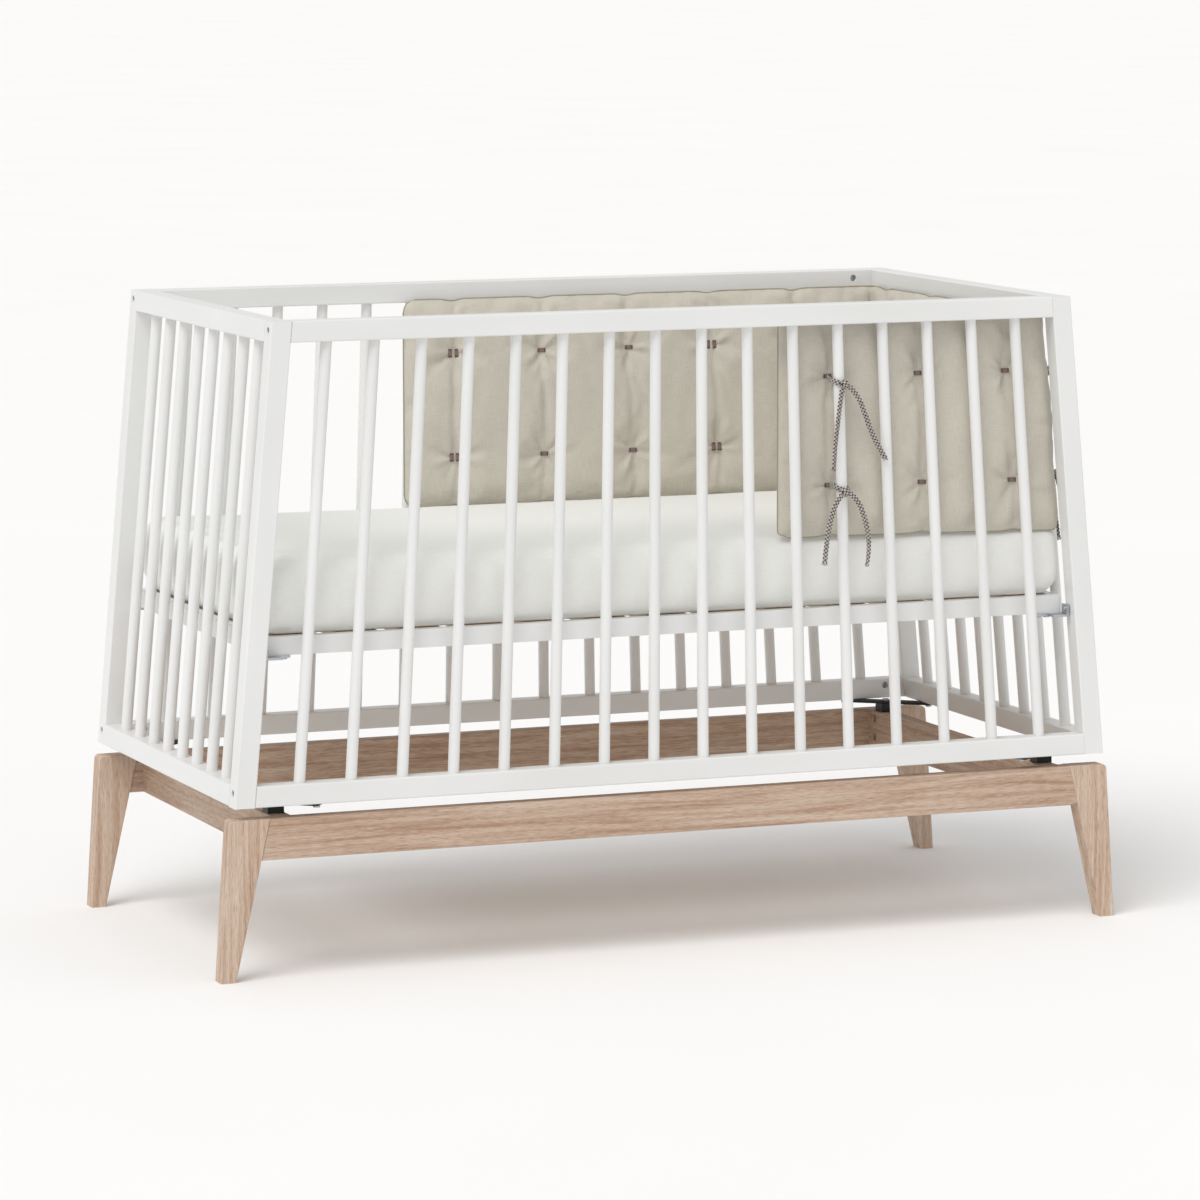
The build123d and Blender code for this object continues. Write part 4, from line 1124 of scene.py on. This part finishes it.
def held_by_elastic(place):
    return place.z < SHEET_LOW.z + 4 * MM


bm = soft_block(SHEET_LOW - SHEET_FULL, SHEET_HIGH + SHEET_FULL, SHEET_CORNER, SHEET_EDGE)
sheet = new_object("cotton_fitted_sheet", bm)
even_mesh(sheet, SHEET_VOXEL)
swell(sheet, held_by_elastic, 5 * MM, pressure=3.0, slack=0.01)
finer(sheet)

bm = bmesh.new()
bm.from_mesh(sheet.data)
inner_x, inner_y = SHEET_HIGH.x - HEM_UNDER, SHEET_HIGH.y - HEM_UNDER
for place, way in (((inner_x, 0, 0), (1, 0, 0)), ((-inner_x, 0, 0), (1, 0, 0)),
                   ((0, inner_y, 0), (0, 1, 0)), ((0, -inner_y, 0), (0, 1, 0))):
    under = [f for f in bm.faces if f.calc_center_median().z < SHEET_LOW.z + 6 * MM]
    rim = list({v for f in under for v in f.verts} | {e for f in under for e in f.edges}) + under
    bmesh.ops.bisect_plane(bm, geom=rim, plane_co=place, plane_no=way)
open_part = [f for f in bm.faces if f.calc_center_median().z < SHEET_LOW.z + 6 * MM
             and abs(f.calc_center_median().x) < inner_x and abs(f.calc_center_median().y) < inner_y]
bmesh.ops.delete(bm, geom=open_part, context="FACES")
bm.to_mesh(sheet.data)
bm.free()
print(len(sheet.data.polygons), "faces in the sheet")

# %% [markdown]
# The gathers are ridges that run up from the hem, close together at the corners and almost gone in the middle
# of each side. The hem itself waves up and down, because elastic draws it in unevenly. The top only has long,
# very low waves from being smoothed by hand.

# %% Press in the gathers
GATHER_REACH = 170 * MM
RIDGE, CORNER_RIDGE, SLOW_WAVE = 1.4 * MM, 11 * MM, 3.2 * MM
SIDE_FULLNESS, HEM_DRAWN_IN = 3.5 * MM, 5.0 * MM
TOP_WAVE, TOP_RIPPLE = 1.3 * MM, 0.35 * MM
HEM_LIFT, CORNER_LIFT = 3.2 * MM, 2.5 * MM


def gather(place, facing):
    """How far the sheet stands out at a point, and how far its hem lifts there."""
    to_corner = math.hypot(SHEET_HIGH.x - abs(place.x), SHEET_HIGH.y - abs(place.y))
    near_corner = max(0.0, 1 - to_corner / GATHER_REACH) ** 1.5
    above_hem = (place.z - SHEET_LOW.z) / (SHEET_HIGH.z - SHEET_LOW.z)
    low_down = max(0.0, 1 - above_hem / 0.75)
    ridges = noise.noise(Vector((place.x * 46, place.y * 46, place.z * 7)))
    slow = noise.noise(Vector((place.x * 9, place.y * 9, place.z * 12 + 5)))
    upright = 1 - abs(facing.z)
    fullness = SIDE_FULLNESS * math.sin(math.pi * min(1.0, max(0.0, above_hem)))
    fullness -= HEM_DRAWN_IN * max(0.0, 1 - above_hem / 0.1)
    stand = ((RIDGE + CORNER_RIDGE * near_corner * low_down) * ridges + SLOW_WAVE * slow + fullness) * upright
    swirl = noise.noise(Vector((place.x * 4, place.y * 7, 3.3)))
    ripple = noise.noise(Vector((place.x * 22, place.y * 10, 8)))
    stand += (TOP_WAVE * swirl + TOP_RIPPLE * ripple) * max(0, facing.z)
    wave = noise.noise(Vector((place.x * 19, place.y * 19, 1.7)))
    lift = (HEM_LIFT + CORNER_LIFT * near_corner) * max(0.0, wave + 0.3) * max(0.0, 1 - above_hem / 0.25)
    return stand, lift


shifts = []
for v in sheet.data.vertices:
    stand, lift = gather(v.co, v.normal)
    on_side = 1 - min(1.0, abs(min(0.0, v.normal.z)) / 0.9)
    shifts.append(v.normal * stand + Vector((0, 0, lift * on_side)))
for v, shift in zip(sheet.data.vertices, shifts):
    v.co += shift
lay_map(sheet, lambda v: (v.co.x, v.co.y) if abs(v.normal.z) > 0.7
        else (v.co.x + v.co.y, v.co.z))
sheet.data.shade_smooth()
sheet.data.materials.append(cotton)
cloth_thickness = sheet.modifiers.new("cloth thickness", "SOLIDIFY")
cloth_thickness.thickness = 0.7 * MM
cloth_thickness.offset = -1
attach(sheet, "mattress_base")
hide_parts("fitted_sheet")
print("sheet", [round(side, 3) for side in sheet.dimensions])

# %% [markdown]
# How large was the cloth before it was sewn? It has to cover the top, both sides and the hem under both sides,
# so each way it is the mattress plus twice its height plus twice the hem.

# %% [markdown]
# ## Floor and light
# The cot stands on a pale floor that runs on past the horizon, so the background is as plain as paper. Soft
# light suits white lacquer: a broad, even key light from high on the front left, which also lights the floor
# evenly all the way out, a weak softbox on the front right to keep the shadows open, and an even sky.

# %% Floor, lamps and sky
FLOOR_REACH = 90
bm = bmesh.new()
bmesh.ops.create_circle(bm, cap_ends=True, segments=96, radius=FLOOR_REACH)
floor = new_object("studio_floor", bm)
paper, paper_tree, paper_surface = finish("pale_paper_floor", {"Roughness": 0.9, "IOR": 1.45,
                                                               "Specular IOR Level": 0.1})
floor_place = add(paper_tree, "TexCoord").outputs["Object"]
paper_tone = add(paper_tree, "ValToRGB", {"stops": [(0.3, "F5F4F3"), (0.7, "F7F6F5")]},
                 {"Fac": streaks(paper_tree, floor_place, (900, 900, 900))})
paper_tree.links.new(paper_tone.outputs["Color"], paper_surface.inputs["Base Color"])
floor.data.materials.append(paper)
floor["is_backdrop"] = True


def lamp(name, kind, place, energy, **sizes):
    """A lamp that looks at the middle of the cot."""
    made = bpy.data.objects.new(name, bpy.data.lights.new(name, kind))
    made.data.energy = energy
    for size, value in sizes.items():
        setattr(made.data, size, value)
    made.location = place
    made.rotation_mode = "QUATERNION"
    made.rotation_quaternion = (Vector((0, 0, 0.5)) - Vector(place)).to_track_quat("-Z", "Y")
    bpy.context.collection.objects.link(made)


lamp("key", "SUN", (-2.7, -2.1, 5.1), 1.59, angle=math.radians(35))
lamp("front_softbox", "AREA", (2.6, -4.6, 2.4), 7, shape="SQUARE", size=2.4)

world = bpy.data.worlds.new("studio")
bpy.context.scene.world = world
world.use_nodes = True
world.node_tree.nodes.clear()
sky = add(world.node_tree, "Background", {"Color": linear("FFFFFF"), "Strength": 0.66})
add(world.node_tree, "OutputWorld", links={"Surface": sky.outputs["Background"]})
bpy.context.scene.view_settings.view_transform = "Standard"

# %% [markdown]
# ## The dressed cot's size
# Dressing the cot must not change its size. The box round the dressed cot, floor left out, is measured. The
# frame's box from the start and the dressed cot's box are
# written side by side.

# %% Measure the dressed cot
low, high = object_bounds()
